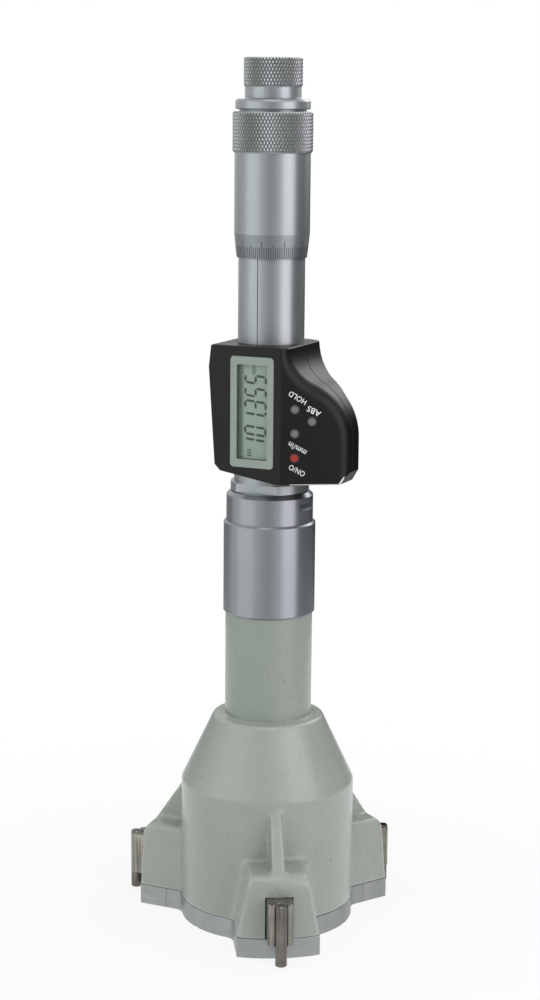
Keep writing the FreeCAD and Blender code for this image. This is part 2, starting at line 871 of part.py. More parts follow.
def push_rod():
    collar_low = f"({TUBE_TOP_Z} - rod_collar_room)"
    blank = turned(
        "RodBlank",
        [
            ("0", f"{HUB_TOP_Z} - rod_stub_length"),
            ("rod_stub_radius", f"{HUB_TOP_Z} - rod_stub_length"),
            ("rod_stub_radius", HUB_TOP_Z),
            ("rod_radius", HUB_TOP_Z),
            ("rod_radius", collar_low),
            ("neck_bore - run_gap", collar_low),
            ("neck_bore - run_gap", f"{collar_low} + rod_collar_height"),
            ("rod_radius", f"{collar_low} + rod_collar_height"),
            ("rod_radius", ROD_TOP_Z),
            ("0", ROD_TOP_Z),
        ],
    )
    seat = doc.addObject("Part::Sphere", "BallSeat")
    bind(seat, Radius="ball_radius")
    place(seat, z=f"{SPINDLE_Z} - ball_radius")
    node("push_rod", without("PushRod", blank, seat))
    ball = doc.addObject("Part::Sphere", "Ball")
    bind(ball, Radius="ball_radius")
    place(ball, z=f"{SPINDLE_Z} - ball_radius")
    node("contact_ball", ball)


def neck():
    node("neck_tube", turned(
        "NeckTube",
        [
            ("neck_bore", TUBE_FOOT_Z),
            ("neck_radius", TUBE_FOOT_Z),
            ("neck_radius", NECK_Z),
            ("spigot_radius", NECK_Z),
            ("spigot_radius", TUBE_TOP_Z),
            ("neck_bore", TUBE_TOP_Z),
        ],
    ))
    bush_low = f"({TUBE_FOOT_Z} + bush_lift)"
    bush_top = f"({bush_low} + bush_length)"
    bush = [("rod_radius + run_gap", bush_low), ("neck_bore", bush_low), ("neck_bore", bush_top),
            ("rod_radius + run_gap", bush_top)]
    node("guide_bush", turned("GuideBush", bush))
    spring_top = f"({TUBE_TOP_Z} - rod_collar_room - spring_gap)"
    node("return_spring", coil("ReturnSpring", "spring_radius", "spring_wire", "spring_pitch",
                               f"({bush_top} + spring_gap)", spring_top))


def couplings():
    bevel = "coupling_bevel"
    node("coupling_sleeve", turned(
        "CouplingSleeve",
        [
            ("spigot_radius", NECK_Z),
            (f"coupling_radius - {bevel}", NECK_Z),
            ("coupling_radius", f"{NECK_Z} + {bevel}"),
            ("coupling_radius", f"{COUPLING_Z} - {bevel}"),
            (f"coupling_radius - {bevel}", COUPLING_Z),
            ("spigot_radius", COUPLING_Z),
        ],
    ))
    seat_top = f"({TUBE_TOP_Z} + flange_seat)"
    ring = turned(
        "RingBlank",
        [
            ("spigot_radius", COUPLING_Z),
            ("ring_radius", COUPLING_Z),
            ("ring_radius", f"{RING_Z} - ring_bevel"),
            ("ring_radius - ring_bevel", RING_Z),
            ("tube_radius", RING_Z),
            ("tube_radius", seat_top),
            ("spigot_radius", seat_top),
        ],
    )
    low = f"({COUPLING_Z} + ring_slot_lift)"
    high = f"({low} + ring_slot_height)"
    flat = "(ring_radius - ring_slot_depth)"
    slots = [
        box("SpannerSlot", flat, "ring_radius + 1", "-ring_radius", "ring_radius", low, high, t)
        for t in (0.0, 180.0)
    ]
    node("coupling_ring", without("CouplingRing", ring, *slots))


def frame_tube():
    seat_top = f"({TUBE_TOP_Z} + flange_seat)"
    step_z = f"({COLLAR_TOP_Z} + tube_step)"
    tube = turned(
        "TubeBlank",
        [
            ("tube_low_bore", TUBE_TOP_Z),
            ("spigot_radius", TUBE_TOP_Z),
            ("spigot_radius", seat_top),
            ("tube_radius", seat_top),
            ("tube_radius", COLLAR_Z),
            ("collar_radius", COLLAR_Z),
            ("collar_radius", COLLAR_TOP_Z),
            ("tube_radius", COLLAR_TOP_Z),
            ("tube_radius", f"{CASE_TOP_Z} - case_wall"),
            ("tube_bore", f"{CASE_TOP_Z} - case_wall"),
            ("tube_bore", step_z),
            ("tube_low_bore", step_z),
        ],
    )
    flats = [
        box("SpannerFlat", "-collar_radius", "collar_radius", "collar_flat", "collar_radius + 1", COLLAR_Z,
            COLLAR_TOP_Z, t)
        for t in (0.0, 180.0)
    ]
    holes = [cross_rod("TubeScrewHole", "case_screw_radius", "tube_bore - 1", "tube_radius + 1", "0", z)
             for z in case_screw_heights()]
    node("frame_tube", without("FrameTube", tube, *flats, *holes))


def case_screw_heights():
    return [f"({CASE_Z} + case_screw_lift)", f"({CASE_TOP_Z} - case_screw_lift)"]


def case_plan(inset, margin):
    """The case in plan, drawn in by an inset: display face, button face, ear side and back, slope, back, left."""
    face = f"(-case_front + ({inset}))"
    shift = f"({inset})*(1 - 1/cos(face_turn))/tan(face_turn)"
    side = f"(ear_reach - ({inset}))"
    front = f"({face} + ({side} - crease_side)*tan(face_turn) + ({inset})*(1/cos(face_turn) - 1))"
    back = f"(case_back - ({inset}))"
    ear = f"(ear_back - ({inset}))"
    slope_start = f"(ear_reach - ear_back_width - ({inset})*tan(ear_back_turn/2))"
    slope_end = f"({slope_start} - ({back} - {ear})/tan(ear_back_turn))"
    left = f"(-case_left + ({inset}) - ({margin}))"
    crease = f"(crease_side + {shift})"
    return [(left, face), (crease, face), (side, front), (side, ear), (slope_start, ear), (slope_end, back),
            (left, back)]


def case_profile(inset):
    """The case seen from the display side, as (x, z) corners, drawn in by an inset."""
    low, high = f"({CASE_Z} + ({inset}))", f"({CASE_TOP_Z} - ({inset}))"
    side = f"(ear_reach - ({inset}))"
    curve_z = f"({CASE_Z} + ear_curve_lift)"
    bend, throat = f"(ear_radius - ({inset}))", f"(throat_radius + ({inset}))"
    middle = "(ear_reach - ear_radius)"
    turn = "ear_slope_turn"
    inflection = (f"{middle} + {bend}*sin({turn})", f"{curve_z} + {bend}*cos({turn})", f"-{throat}")
    throat_x = f"({middle} + (ear_radius + throat_radius)*sin({turn}))"
    throat_z = f"({curve_z} + (ear_radius + throat_radius)*cos({turn}))"
    top_x = f"({throat_x} - sqrt({throat}^2 - ({throat_z} - {high})^2))"
    left, left_low = f"(-case_left + ({inset}))", f"(-case_left_low + ({inset}))"
    return [
        (f"{left} + case_top_inset", high),
        (left, f"{high} - case_shoulder_drop"),
        (left_low, f"{low} + case_low_rise + case_corner"),
        (f"{left_low} + case_corner", f"{low} + case_low_rise"),
        ("crease_side - case_corner", low),
        (f"{side} - ear_bevel_width", low),
        (side, f"{low} + ear_bevel"),
        (side, curve_z, bend),
        inflection,
        (top_x, high),
    ]


def case_body(name, inset):
    """The case's outer form, or its inner room where there is an inset."""
    plan = upright(f"{name}Plan", case_plan(inset, "1"), f"{CASE_Z} - 1", f"{CASE_TOP_Z} + 1")
    profile = sideways(f"{name}Profile", case_profile(inset), "-case_front - 1", "case_back + 1")
    return common(name, plan, profile)


def on_face(along, height, depth="0"):
    """A point of the button face: so far along from the crease, so high, and so deep behind the face."""
    x = f"(crease_side + ({along})*cos(face_turn) - ({depth})*sin(face_turn))"
    y = f"(-case_front + ({along})*sin(face_turn) + ({depth})*cos(face_turn))"
    return x, y, f"({CASE_Z} + ({height}))"


def face_rotation():
    """Turns +Z to the outward direction of the button face."""
    face = FreeCAD.Rotation(FreeCAD.Vector(0, 0, 1), number("face_turn"))
    return face * FreeCAD.Rotation(FreeCAD.Vector(1, 0, 0), 90)


def stood_on_face(obj, along, height):
    """Stands a piece that was made about +Z on the button face, its zero height on the face."""
    obj.Placement = FreeCAD.Placement(FreeCAD.Vector(), face_rotation())
    place(obj, *on_face(along, height))
    return obj


BUTTONS = {
    "hold_button": ("button_step_side", "hold_lift"),
    "abs_button": ("button_far_side", "abs_lift"),
    "unit_button": ("button_step_side", "unit_lift"),
    "power_button": ("button_step_side", "power_lift"),
}
BUTTON_FOOT = "(case_wall + button_seat_gap + button_lip_height)"


def buttons():
    lip = "(button_radius + button_lip)"
    seat = "(case_wall + button_seat_gap)"
    for label, (along, height) in BUTTONS.items():
        button = turned(
            "Button",
            [
                ("0", f"-{BUTTON_FOOT}"),
                (lip, f"-{BUTTON_FOOT}"),
                (lip, f"-{seat}"),
                ("button_radius", f"-{seat}"),
                ("button_radius", "button_rise - button_bevel"),
                ("button_radius - button_bevel", "button_rise"),
                ("0", "button_rise"),
            ],
        )
        node(label, stood_on_face(button, along, height))


def switch_board():
    """The small board behind the buttons, with one switch under each."""
    top = f"({BUTTON_FOOT} + button_travel + switch_gap)"
    board_z = f"({top} + plunger_height + switch_height)"
    margin = "switch_board_margin"
    plate = doc.addObject("Part::Box", "SwitchPlate")
    length = f"(button_far_side - button_step_side + 2*{margin})"
    bind(plate, Length=length, Width=f"hold_lift - power_lift + 2*{margin}", Height="switch_board_thickness")
    plate.Placement = FreeCAD.Placement(FreeCAD.Vector(), face_rotation())
    place(plate, *on_face(f"button_step_side - {margin}", f"power_lift - {margin}",
                          f"({board_z} + switch_board_thickness)"))
    pieces = [plate]
    for along, height in BUTTONS.values():
        half = "switch_body/2"
        block = doc.addObject("Part::Box", "SwitchBlock")
        bind(block, Length="switch_body", Width="switch_body", Height="switch_height")
        block.Placement = FreeCAD.Placement(FreeCAD.Vector(), face_rotation())
        place(block, *on_face(f"{along} - {half}", f"{height} - {half}", board_z))
        plunger = rod("Plunger", "switch_radius", f"-{board_z}", f"-{top}")
        held = gathered("PlungerHeld", [plunger])
        pieces += [block, stood_on_face(held, along, height)]
    node("switch_board", joined("SwitchBoard", pieces))


def display_box(name, width, height, front, back):
    """A box behind the display face, centred on the display."""
    middle = f"({CASE_Z} + display_lift)"
    return box(name, f"display_side - ({width})/2", f"display_side + ({width})/2", front, back,
               f"{middle} - ({height})/2", f"{middle} + ({height})/2")


def rounded_display(name, width, height, front, back, corner):
    """The same with its four upright corners rounded."""
    blank = display_box(name, width, height, front, back)

    def corner_edge(edge):
        ends = [v.Point for v in edge.Vertexes]
        return abs(ends[0].y - ends[1].y) > 1e-3

    return dressed("Fillet", f"{name}Rounds", blank, [(corner_edge, corner)])


def battery_cover_form(name, start):
    """The thin plate that closes the ear's underside and its bevelled corner, as an (x, z) strip."""
    low, thick = CASE_Z, "cover_thickness"
    turned_in = f"({thick}*tan(atan(ear_bevel/ear_bevel_width)/2))"
    corners = [
        (start, f"{low} - 1"),
        ("ear_reach + 1", f"{low} - 1"),
        ("ear_reach + 1", f"{low} + ear_bevel"),
        (f"ear_reach - {thick}", f"{low} + ear_bevel"),
        (f"ear_reach - ear_bevel_width - {turned_in}", f"{low} + {thick}"),
        (start, f"{low} + {thick}"),
    ]
    return sideways(name, corners, "-case_front - 1", "case_back + 1")


def display_case():
    outer = case_body("CaseOuter", "0")
    doc.recompute()
    corner = number("ear_reach")

    def ear_corner(edge):
        ends = [v.Point for v in edge.Vertexes]
        return all(abs(p.x - corner) < 1e-3 and p.y < 0 for p in ends) and abs(ends[0].z - ends[1].z) > 1

    outer = dressed("Fillet", "EarRounded", outer, [(ear_corner, "ear_corner")])
    outer = dressed("Fillet", "CaseRounded", outer, [(lambda edge: True, "case_round")])
    room = case_body("CaseRoom", "case_wall")
    bore = rod("TubeBore", "tube_radius", f"{CASE_Z} - 1", f"{CASE_TOP_Z} - case_wall")
    mouth = rod("SleeveMouth", "sleeve_radius", f"{CASE_Z} - 1", f"{CASE_TOP_Z} + 1")
    cover = battery_cover_form("CoverRoom", "cover_start")
    opening = rounded_display("DisplayOpening", "display_width", "display_height", "-case_front - 1",
                              "-case_front + 1.5*case_wall", "display_corner")
    button_holes = []
    for along, height in BUTTONS.values():
        hole = rod("ButtonHole", "button_radius + button_gap", "-case_wall - 1", "button_rise + 1")
        held = gathered("HoleHeld", [hole])
        button_holes.append(stood_on_face(held, along, height))
    around = ("-case_left - 2", "ear_reach + 2")
    tall = (f"{CASE_Z} - 2", f"{CASE_TOP_Z} + 2")
    back_half = box("BackHalf", *around, "-case_split", "case_back + 2", *tall)
    front_half = box("FrontHalf", *around, "-case_front - 2", "-case_split", *tall)
    shell = without("CaseShell", outer, room, bore, mouth, cover)
    front = common("FrontBlank", shell, front_half)
    node("front_shell", without("FrontShell", front, opening, *button_holes))
    heads = []
    for z in case_screw_heights():
        heads.append(cross_rod("HeadRoom", "case_screw_head + run_gap", "case_back - case_screw_head_height",
                               "case_back + 1", "0", z))
        heads.append(cross_rod("ShankRoom", "case_screw_radius", "tube_bore", "case_back + 1", "0", z))
    rear = common("RearBlank", shell, back_half)
    node("rear_shell", without("RearShell", rear, *heads))
    plate = battery_cover_form("CoverForm", "cover_start + battery_cover_gap")
    node("battery_cover", common("CoverBlank", outer, plate))


def case_screws():
    screws = []
    for z in case_screw_heights():
        under = "(case_back - case_screw_head_height)"
        head = cross_rod("ScrewHead", "case_screw_head", under, "case_back", "0", z)
        shank = cross_rod("ScrewShank", "case_screw_radius", "tube_bore + case_screw_gap",
                          "case_back - case_screw_head_height/2", "0", z)
        slot = box("ScrewSlot", "-case_screw_head - 1", "case_screw_head + 1", "case_back - case_slot_depth",
                   "case_back + 1", f"{z} - case_slot_width/2", f"{z} + case_slot_width/2")
        screws.append(without("CaseScrew", joined("CaseScrewWhole", [head, shank]), slot))
    node("case_screws", gathered("CaseScrews", screws))


def display():
    front = "(-case_front + bezel_sink)"
    back = f"({front} + bezel_thickness)"
    view = rounded_display("ViewOpening", "view_width", "view_height", f"{front} - 1", f"{back} + 1",
                           "view_corner")
    bezel = rounded_display("BezelBlank", "display_width - 2*display_gap", "display_height - 2*display_gap",
                            front, back, "display_corner")
    node("display_bezel", without("DisplayBezel", bezel, view))
    window_front = f"({front} + window_sink)"
    window_back = f"({window_front} + window_thickness)"
    window_size = ("view_width - display_gap", "view_height - display_gap")
    node("display_window", rounded_display("DisplayWindow", *window_size, window_front, window_back,
                                           "view_corner - display_gap/2"))
    panel_back = f"({back} + panel_thickness)"
    panel_size = ("view_width + 2*panel_margin", "view_height + 2*panel_margin")
    node("display_panel", display_box("DisplayPanel", *panel_size, back, panel_back))
    margin = "board_margin"
    node("circuit_board", box(
        "CircuitBoard",
        f"-case_left_low + case_wall + {margin}",
        f"crease_side - {margin}",
        panel_back,
        f"{panel_back} + board_thickness",
        f"{CASE_Z} + case_low_rise + case_wall + {margin}",
        f"{CASE_TOP_Z} - case_wall - {margin}",
    ))


def battery():
    middle = f"({CASE_Z} + cover_thickness + case_wall + battery_lift + battery_radius)"
    back = "(-battery_front + battery_thickness)"
    node("battery", cross_rod("Battery", "battery_radius", "-battery_front", back, BATTERY_X, middle))
    low = f"({CASE_Z} + case_wall)"
    along = ("tube_radius", f"{BATTERY_X} + battery_radius/2")
    strap_back = f"({back} + contact_thickness)"
    strap = box("StrapUpright", *along, back, strap_back, low, f"{middle} + battery_radius/2")
    foot = box("StrapFoot", *along, "-battery_front", strap_back, low, f"{low} + contact_thickness")
    rest = box("StrapRest", f"{BATTERY_X} - contact_rest_width/2", f"{BATTERY_X} + contact_rest_width/2",
               "-battery_front", back, low, f"{middle} - battery_radius + contact_thickness/6")
    seat = cross_rod("StrapSeat", "battery_radius", "-battery_front - 1", back, BATTERY_X, middle)
    node("battery_contact", without("BatteryContact", joined("Strap", [strap, foot, rest]), seat))


def encoder():
    rotor = turned(
        "RotorBlank",
        [
            ("spindle_stem_radius + run_gap", ROTOR_Z),
            ("rotor_radius", ROTOR_Z),
            ("rotor_radius", ROTOR_TOP_Z),
            ("spindle_stem_radius + run_gap", ROTOR_TOP_Z),
        ],
    )
    key = box("RotorKey", "spindle_stem_radius - rotor_key_depth", "spindle_stem_radius + stem_room",
              "-rotor_key_half", "rotor_key_half", ROTOR_Z, ROTOR_TOP_Z)
    node("encoder_rotor", joined("EncoderRotor", [rotor, key]))
    seat_top = f"({ROTOR_Z} - rotor_gap)"
    bore = "(spindle_stem_radius + stem_room)"
    seat = oblong(bore, "tube_bore", f"{seat_top} - seat_thickness", seat_top)
    node("rotor_seat", turned("RotorSeat", seat))
    stator = oblong(bore, "tube_bore", f"{STATOR_TOP_Z} - stator_thickness", STATOR_TOP_Z)
    node("encoder_stator", turned("EncoderStator", stator))


def sleeve():
    core_low = f"({STATOR_TOP_Z} + core_gap)"
    nut_low = f"({SLEEVE_TOP_Z} + nut_neck_length - nut_length)"
    node("inner_sleeve", turned(
        "InnerSleeve",
        [
            ("core_bore", core_low),
            ("sleeve_core_radius", core_low),
            ("sleeve_core_radius", SLEEVE_TOP_Z),
            ("nut_neck_radius", SLEEVE_TOP_Z),
            ("nut_neck_radius", f"{SLEEVE_TOP_Z} + nut_neck_length"),
            ("spindle_radius + run_gap", f"{SLEEVE_TOP_Z} + nut_neck_length"),
            ("spindle_radius + run_gap", nut_low),
            ("core_bore", f"{nut_low} - 1"),
        ],
    ))
    node("scale_sleeve", turned(
        "ScaleSleeve",
        oblong("sleeve_core_radius", "sleeve_radius", f"{CASE_TOP_Z} - case_wall", SLEEVE_TOP_Z),
    ))
    node("adjusting_nut", turned(
        "AdjustingNut",
        oblong("nut_neck_radius", "nut_radius", SLEEVE_TOP_Z, f"{SLEEVE_TOP_Z} + nut_neck_length"),
    ))


def spindle():
    thread_low = f"({SLEEVE_TOP_Z} + nut_neck_length - nut_length - thread_reach)"
    stud_top = f"({BAND_TOP_Z} + stud_length)"
    blank = turned(
        "SpindleBlank",
        [
            ("0", SPINDLE_Z),
            ("spindle_stem_radius", SPINDLE_Z),
            ("spindle_stem_radius", thread_low),
            ("spindle_radius", thread_low),
            ("spindle_radius", BAND_TOP_Z),
            ("stud_radius", BAND_TOP_Z),
            ("stud_radius", stud_top),
            ("pivot_thread_radius", stud_top),
            ("pivot_thread_radius", BAND_TOP_Z),
            ("0", BAND_TOP_Z),
        ],
    )
    half = "(rotor_key_half + keyway_gap)"
    keyway = box("Keyway", "spindle_stem_radius - rotor_key_depth - keyway_gap", "spindle_stem_radius + 1",
                 f"-{half}", half, f"{ROTOR_Z} - feed_up - 1", f"{ROTOR_TOP_Z} + feed_down + 1")
    node("spindle", without("Spindle", blank, keyway))


def thimble():
    web_z = f"({BAND_TOP_Z} - web_thickness)"
    node("thimble", turned(
        "Thimble",
        [
            ("thimble_bore", THIMBLE_Z),
            ("thimble_low_radius", THIMBLE_Z),
            ("thimble_radius", BEVEL_Z),
            ("thimble_radius", BAND_Z),
            ("band_radius - band_bevel", BAND_Z),
            ("band_radius", f"{BAND_Z} + band_bevel"),
            ("band_radius", f"{BAND_TOP_Z} - band_bevel"),
            ("band_radius - band_bevel", BAND_TOP_Z),
            ("spindle_radius", BAND_TOP_Z),
            ("spindle_radius", web_z),
            ("thimble_bore", web_z),
        ],
    ))
    node("thimble_cap", turned(
        "ThimbleCap",
        [
            ("stud_radius", BAND_TOP_Z),
            ("cap_neck_radius", BAND_TOP_Z),
            ("cap_neck_radius", CAP_Z),
            ("cap_radius - cap_bevel/2", CAP_Z),
            ("cap_radius", f"{CAP_Z} + cap_bevel/2"),
            ("cap_radius", f"{CAP_TOP_Z} - cap_bevel"),
            ("cap_radius - cap_bevel", CAP_TOP_Z),
            ("stud_radius", CAP_TOP_Z),
        ],
    ))


def ratchet():
    roof_z = f"({KNOB_TOP_Z} - knob_roof)"
    head_z = f"({KNOB_TOP_Z} - knob_dish)"
    hollow = "(knob_neck_radius - knob_wall)"
    node("ratchet_knob", turned(
        "RatchetKnob",
        [
            (hollow, KNOB_Z),
            ("knob_neck_radius", KNOB_Z),
            ("knob_neck_radius", KNURL_Z),
            ("knob_radius - knob_bevel", KNURL_Z),
            ("knob_radius", f"{KNURL_Z} + knob_bevel"),
            ("knob_radius", f"{KNOB_TOP_Z} - knob_bevel"),
            ("knob_radius - knob_bevel", KNOB_TOP_Z),
            ("pivot_head_radius + pivot_gap", KNOB_TOP_Z),
            ("pivot_head_radius + pivot_gap", head_z),
            ("pivot_radius + pivot_gap", head_z),
            ("pivot_radius + pivot_gap", roof_z),
            (hollow, roof_z),
        ],
    ))
    stud_top = f"({BAND_TOP_Z} + stud_length)"
    head_low = f"({head_z} + knob_gap)"
    tip = f"({BAND_TOP_Z} + pivot_tip_gap)"
    blank = turned(
        "PivotBlank",
        [
            ("0", tip),
            ("pivot_thread_radius", tip),
            ("pivot_thread_radius", stud_top),
            ("pivot_radius", stud_top),
            ("pivot_radius", head_low),
            ("pivot_head_radius", head_low),
            ("pivot_head_radius", f"{head_low} + pivot_head_height"),
            ("0", f"{head_low} + pivot_head_height"),
        ],
    )
    top = f"({head_low} + pivot_head_height)"
    slot = box("PivotSlot", "-pivot_head_radius - 1", "pivot_head_radius + 1", "-pivot_slot_width/2",
               "pivot_slot_width/2", f"{top} - pivot_slot_depth", f"{top} + 1")
    node("ratchet_screw", without("RatchetScrew", blank, slot))
    disc_low = f"({CAP_TOP_Z} + disc_gap)"
    disc_top = f"({disc_low} + disc_thickness)"
    disc = oblong("disc_bore", f"{hollow} - run_gap", disc_low, disc_top)
    node("friction_disc", turned("FrictionDisc", disc))
    radius = f"({hollow} - friction_wire - friction_gap)"
    spring = coil("FrictionSpring", radius, "friction_wire", "friction_pitch", disc_top, roof_z)
    node("friction_spring", spring)


def check_and_write():
    doc.recompute()
    failed = [o.Label for o in doc.Objects if {"Invalid", "Error"} & set(o.State)]
    if failed:
        raise RuntimeError(f"these objects failed: {failed}")
    os.makedirs("parts", exist_ok=True)
    for piece in nodes:
        shape = piece.Shape
        if shape.isNull() or not shape.isValid() or not shape.Solids:
            raise RuntimeError(f"{piece.Label} has no valid solid")
        solid = shape.Solids[0] if len(shape.Solids) == 1 else Part.makeCompound(shape.Solids)
        solid.exportStep(f"parts/{piece.Label}.step")
        print(f"{piece.Label}: {len(shape.Solids)} solid(s), {shape.Volume:.1f} mm3")


head_casting()
base_plate()
guide_covers()
plate_screws()
anvils()
measuring_cone()
push_rod()
neck()
couplings()
frame_tube()
display_case()
case_screws()
display()
buttons()
switch_board()
battery()
encoder()
sleeve()
spindle()
thimble()
ratchet()
check_and_write()
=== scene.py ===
# %% [markdown]
# An inside micrometer measures the bore of a large hole. It stands here on its head end, with three
# anvils that slide out of a cast head, a steel frame tube with a digital display, and a knurled thimble
# on top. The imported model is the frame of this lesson: every piece is already at its real size and
# place, in metres. Blender gives each piece its finish, and makes anew only what needs a finer surface
# than the frame has.

# %% Load the frame
import json
import math

import bmesh
import bpy
import numpy as np
from mathutils import Matrix, Vector


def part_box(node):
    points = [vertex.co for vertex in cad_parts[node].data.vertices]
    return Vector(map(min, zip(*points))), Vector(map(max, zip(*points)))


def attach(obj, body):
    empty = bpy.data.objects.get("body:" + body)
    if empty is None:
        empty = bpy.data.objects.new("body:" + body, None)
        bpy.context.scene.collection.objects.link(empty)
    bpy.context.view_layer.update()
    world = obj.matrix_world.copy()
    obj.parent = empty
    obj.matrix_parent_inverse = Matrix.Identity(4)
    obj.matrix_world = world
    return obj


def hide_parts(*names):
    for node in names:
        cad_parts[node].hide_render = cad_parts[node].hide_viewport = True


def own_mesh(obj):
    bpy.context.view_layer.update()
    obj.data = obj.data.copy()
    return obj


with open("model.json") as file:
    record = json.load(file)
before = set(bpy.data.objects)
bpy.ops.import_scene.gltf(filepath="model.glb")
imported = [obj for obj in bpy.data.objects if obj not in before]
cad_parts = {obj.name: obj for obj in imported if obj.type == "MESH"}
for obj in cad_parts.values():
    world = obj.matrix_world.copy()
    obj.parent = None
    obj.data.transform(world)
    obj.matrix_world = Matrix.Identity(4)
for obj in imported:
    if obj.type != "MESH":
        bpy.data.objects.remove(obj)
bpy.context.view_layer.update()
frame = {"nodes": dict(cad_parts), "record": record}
MM = 0.001
print("nodes in the frame:", len(frame["nodes"]))

# %% [markdown]
# The camera stands a little above the display, to its right, and looks down by about eleven degrees.
# The long lens keeps the instrument's sides nearly parallel. A small roll leans the picture by half a
# degree.

# %% The camera
VIEW_TURN = math.radians(24.4)
VIEW_PITCH = math.radians(10.85)
VIEW_ROLL = math.radians(0.49)
VIEW_PLACE = Vector((0.2871, -0.6327, 0.2722))
LENS_MM = 79.06
SENSOR_MM = 36.0

toward = Vector((math.sin(VIEW_TURN), -math.cos(VIEW_TURN), 0))
sideways = Vector((math.cos(VIEW_TURN), math.sin(VIEW_TURN), 0))
look = (-toward * math.cos(VIEW_PITCH) + Vector((0, 0, -math.sin(VIEW_PITCH)))).normalized()
upright = sideways.cross(look)
right = sideways * math.cos(VIEW_ROLL) + upright * math.sin(VIEW_ROLL)
above = upright * math.cos(VIEW_ROLL) - sideways * math.sin(VIEW_ROLL)
lens = bpy.data.cameras.new("camera")
lens.lens = LENS_MM
lens.sensor_width = SENSOR_MM
lens.clip_start = 0.01
camera = bpy.data.objects.new("camera", lens)
camera.matrix_world = Matrix((right, above, -look)).transposed().to_4x4()
camera.location = VIEW_PLACE
bpy.context.scene.collection.objects.link(camera)
bpy.context.scene.camera = camera
bpy.context.scene.view_settings.view_transform = "Standard"

# %% [markdown]
# A finish is a tree of shader nodes. Writing the sums as Python expressions keeps them readable, so one
# small class wraps a socket and turns +, -, * and / into Math nodes. Every other node comes from one
# method, which the trees of the finishes, the world and the geometry share.

# %% Shader sums as Python expressions
class Wire:
    """An output of a node, which Python's operators work on."""

    def __init__(self, nodes, socket):
        self.nodes = nodes
        self.socket = socket

    def sum(self, operation, first, second):
        return self.nodes.maths(operation, first, second)

    def __add__(self, other):
        return self.sum("ADD", self, other)

    def __sub__(self, other):
        return self.sum("SUBTRACT", self, other)

    def __rsub__(self, other):
        return self.sum("SUBTRACT", other, self)

    def __mul__(self, other):
        return self.sum("MULTIPLY", self, other)

    def __truediv__(self, other):
        return self.sum("DIVIDE", self, other)

    __radd__ = __add__
    __rmul__ = __mul__


class Nodes:
    """A tree of nodes."""

    def __init__(self, tree):
        self.tree = tree

    def node(self, kind, settings=None, inputs=None, output=0):
        made = self.tree.nodes.new(kind)
        for name, value in (settings or {}).items():
            setattr(made, name, value)
        for key, value in (inputs or {}).items():
            self.feed(made.inputs[key], value)
        return Wire(self, made.outputs[output])

    def feed(self, socket, value):
        if isinstance(value, Wire):
            self.tree.links.new(value.socket, socket)
        else:
            socket.default_value = value

    def maths(self, operation, *values):
        return self.node("ShaderNodeMath", {"operation": operation}, dict(enumerate(values)))

    def split(self, vector):
        """The three parts of a vector."""
        made = self.node("ShaderNodeSeparateXYZ", None, {0: vector}).socket.node
        return [Wire(self, made.outputs[axis]) for axis in "XYZ"]

    def background_rays(self):
        """1 for the rays that should find a white background: of the camera, of gloss and of glass."""
        path = self.node("ShaderNodeLightPath").socket.node.outputs
        kinds = ("Camera", "Glossy", "Transmission")
        seen, gloss, glass = (Wire(self, path[f"Is {kind} Ray"]) for kind in kinds)
        return self.maths("MINIMUM", seen + gloss + glass, 1.0)


class Finish(Nodes):
    """A material and the tree that makes it."""

    def __init__(self, name, **surface):
        self.material = bpy.data.materials.new(name)
        self.material.use_nodes = True
        super().__init__(self.material.node_tree)
        self.shader = self.tree.nodes["Principled BSDF"]
        self.set(**surface)

    def set(self, **surface):
        for name, value in surface.items():
            self.feed(self.shader.inputs[name.replace("_", " ").title().replace("Ior", "IOR")], value)
        return self

    def here(self):
        """A point's place in the piece's own coordinates, in metres."""
        return self.node("ShaderNodeTexCoord", output="Object")

    def grain(self, size, detail=2.0, stretch=(1, 1, 1), turn=(0, 0, 0)):
        """Soft noise with grains of a size in metres, from 0 to 1."""
        scale = tuple(s / size for s in stretch)
        fit = {"Vector": self.here(), "Scale": scale, "Rotation": turn}
        place = self.node("ShaderNodeMapping", None, fit)
        noise = {"Vector": place, "Scale": 1.0, "Detail": detail}
        return self.node("ShaderNodeTexNoise", None, noise, "Fac")

    def step(self, value, low, high):
        """0 below low, 1 above high, and a soft step between."""
        settings = {"interpolation_type": "SMOOTHSTEP"}
        return self.node("ShaderNodeMapRange", settings, {"Value": value, "From Min": low, "From Max": high})

    def mix(self, share, first, second):
        """One colour turning into another."""
        ends = {0: share, 6: (*first, 1.0) if isinstance(first, tuple) else first,
                7: (*second, 1.0) if isinstance(second, tuple) else second}
        return self.node("ShaderNodeMix", {"data_type": "RGBA"}, ends, 2)

    def relief(self, height, depth):
        """Bumps of a depth in metres."""
        bumps = {"Height": height, "Strength": 1.0, "Distance": depth}
        return self.set(normal=self.node("ShaderNodeBump", None, bumps, "Normal"))


def srgb(red, green, blue):
    """A colour given as it looks on a screen, from 0 to 255, as the linear colour that the shader needs."""
    def linear(level):
        level = level / 255
        return level / 12.92 if level <= 0.04045 else ((level + 0.055) / 1.055) ** 2.4
    return tuple(linear(level) for level in (red, green, blue))


# %% [markdown]
# The head is a casting with a coat of grey-green enamel. Enamel on a sand casting is never flat: it
# keeps the lumps of the mould under a smooth skin, with a few pits. Its colour is painted paler along
# the rims, a painted highlight, and darker in the hollows, a painted shade. The neck tube has its own
# copy of the enamel, a little darker.

# %% Enamel on cast iron
# Colours of the painted highlight on the rims, of the painted shade in the hollows, and of the pits.
RIM_PAINTED_HIGHLIGHT = srgb(192, 196, 187)
HOLLOW_PAINTED_SHADE = srgb(104, 116, 106)
PIT_PAINT = srgb(84, 90, 84)
PIT_START, PIT_FULL = 0.835, 0.85


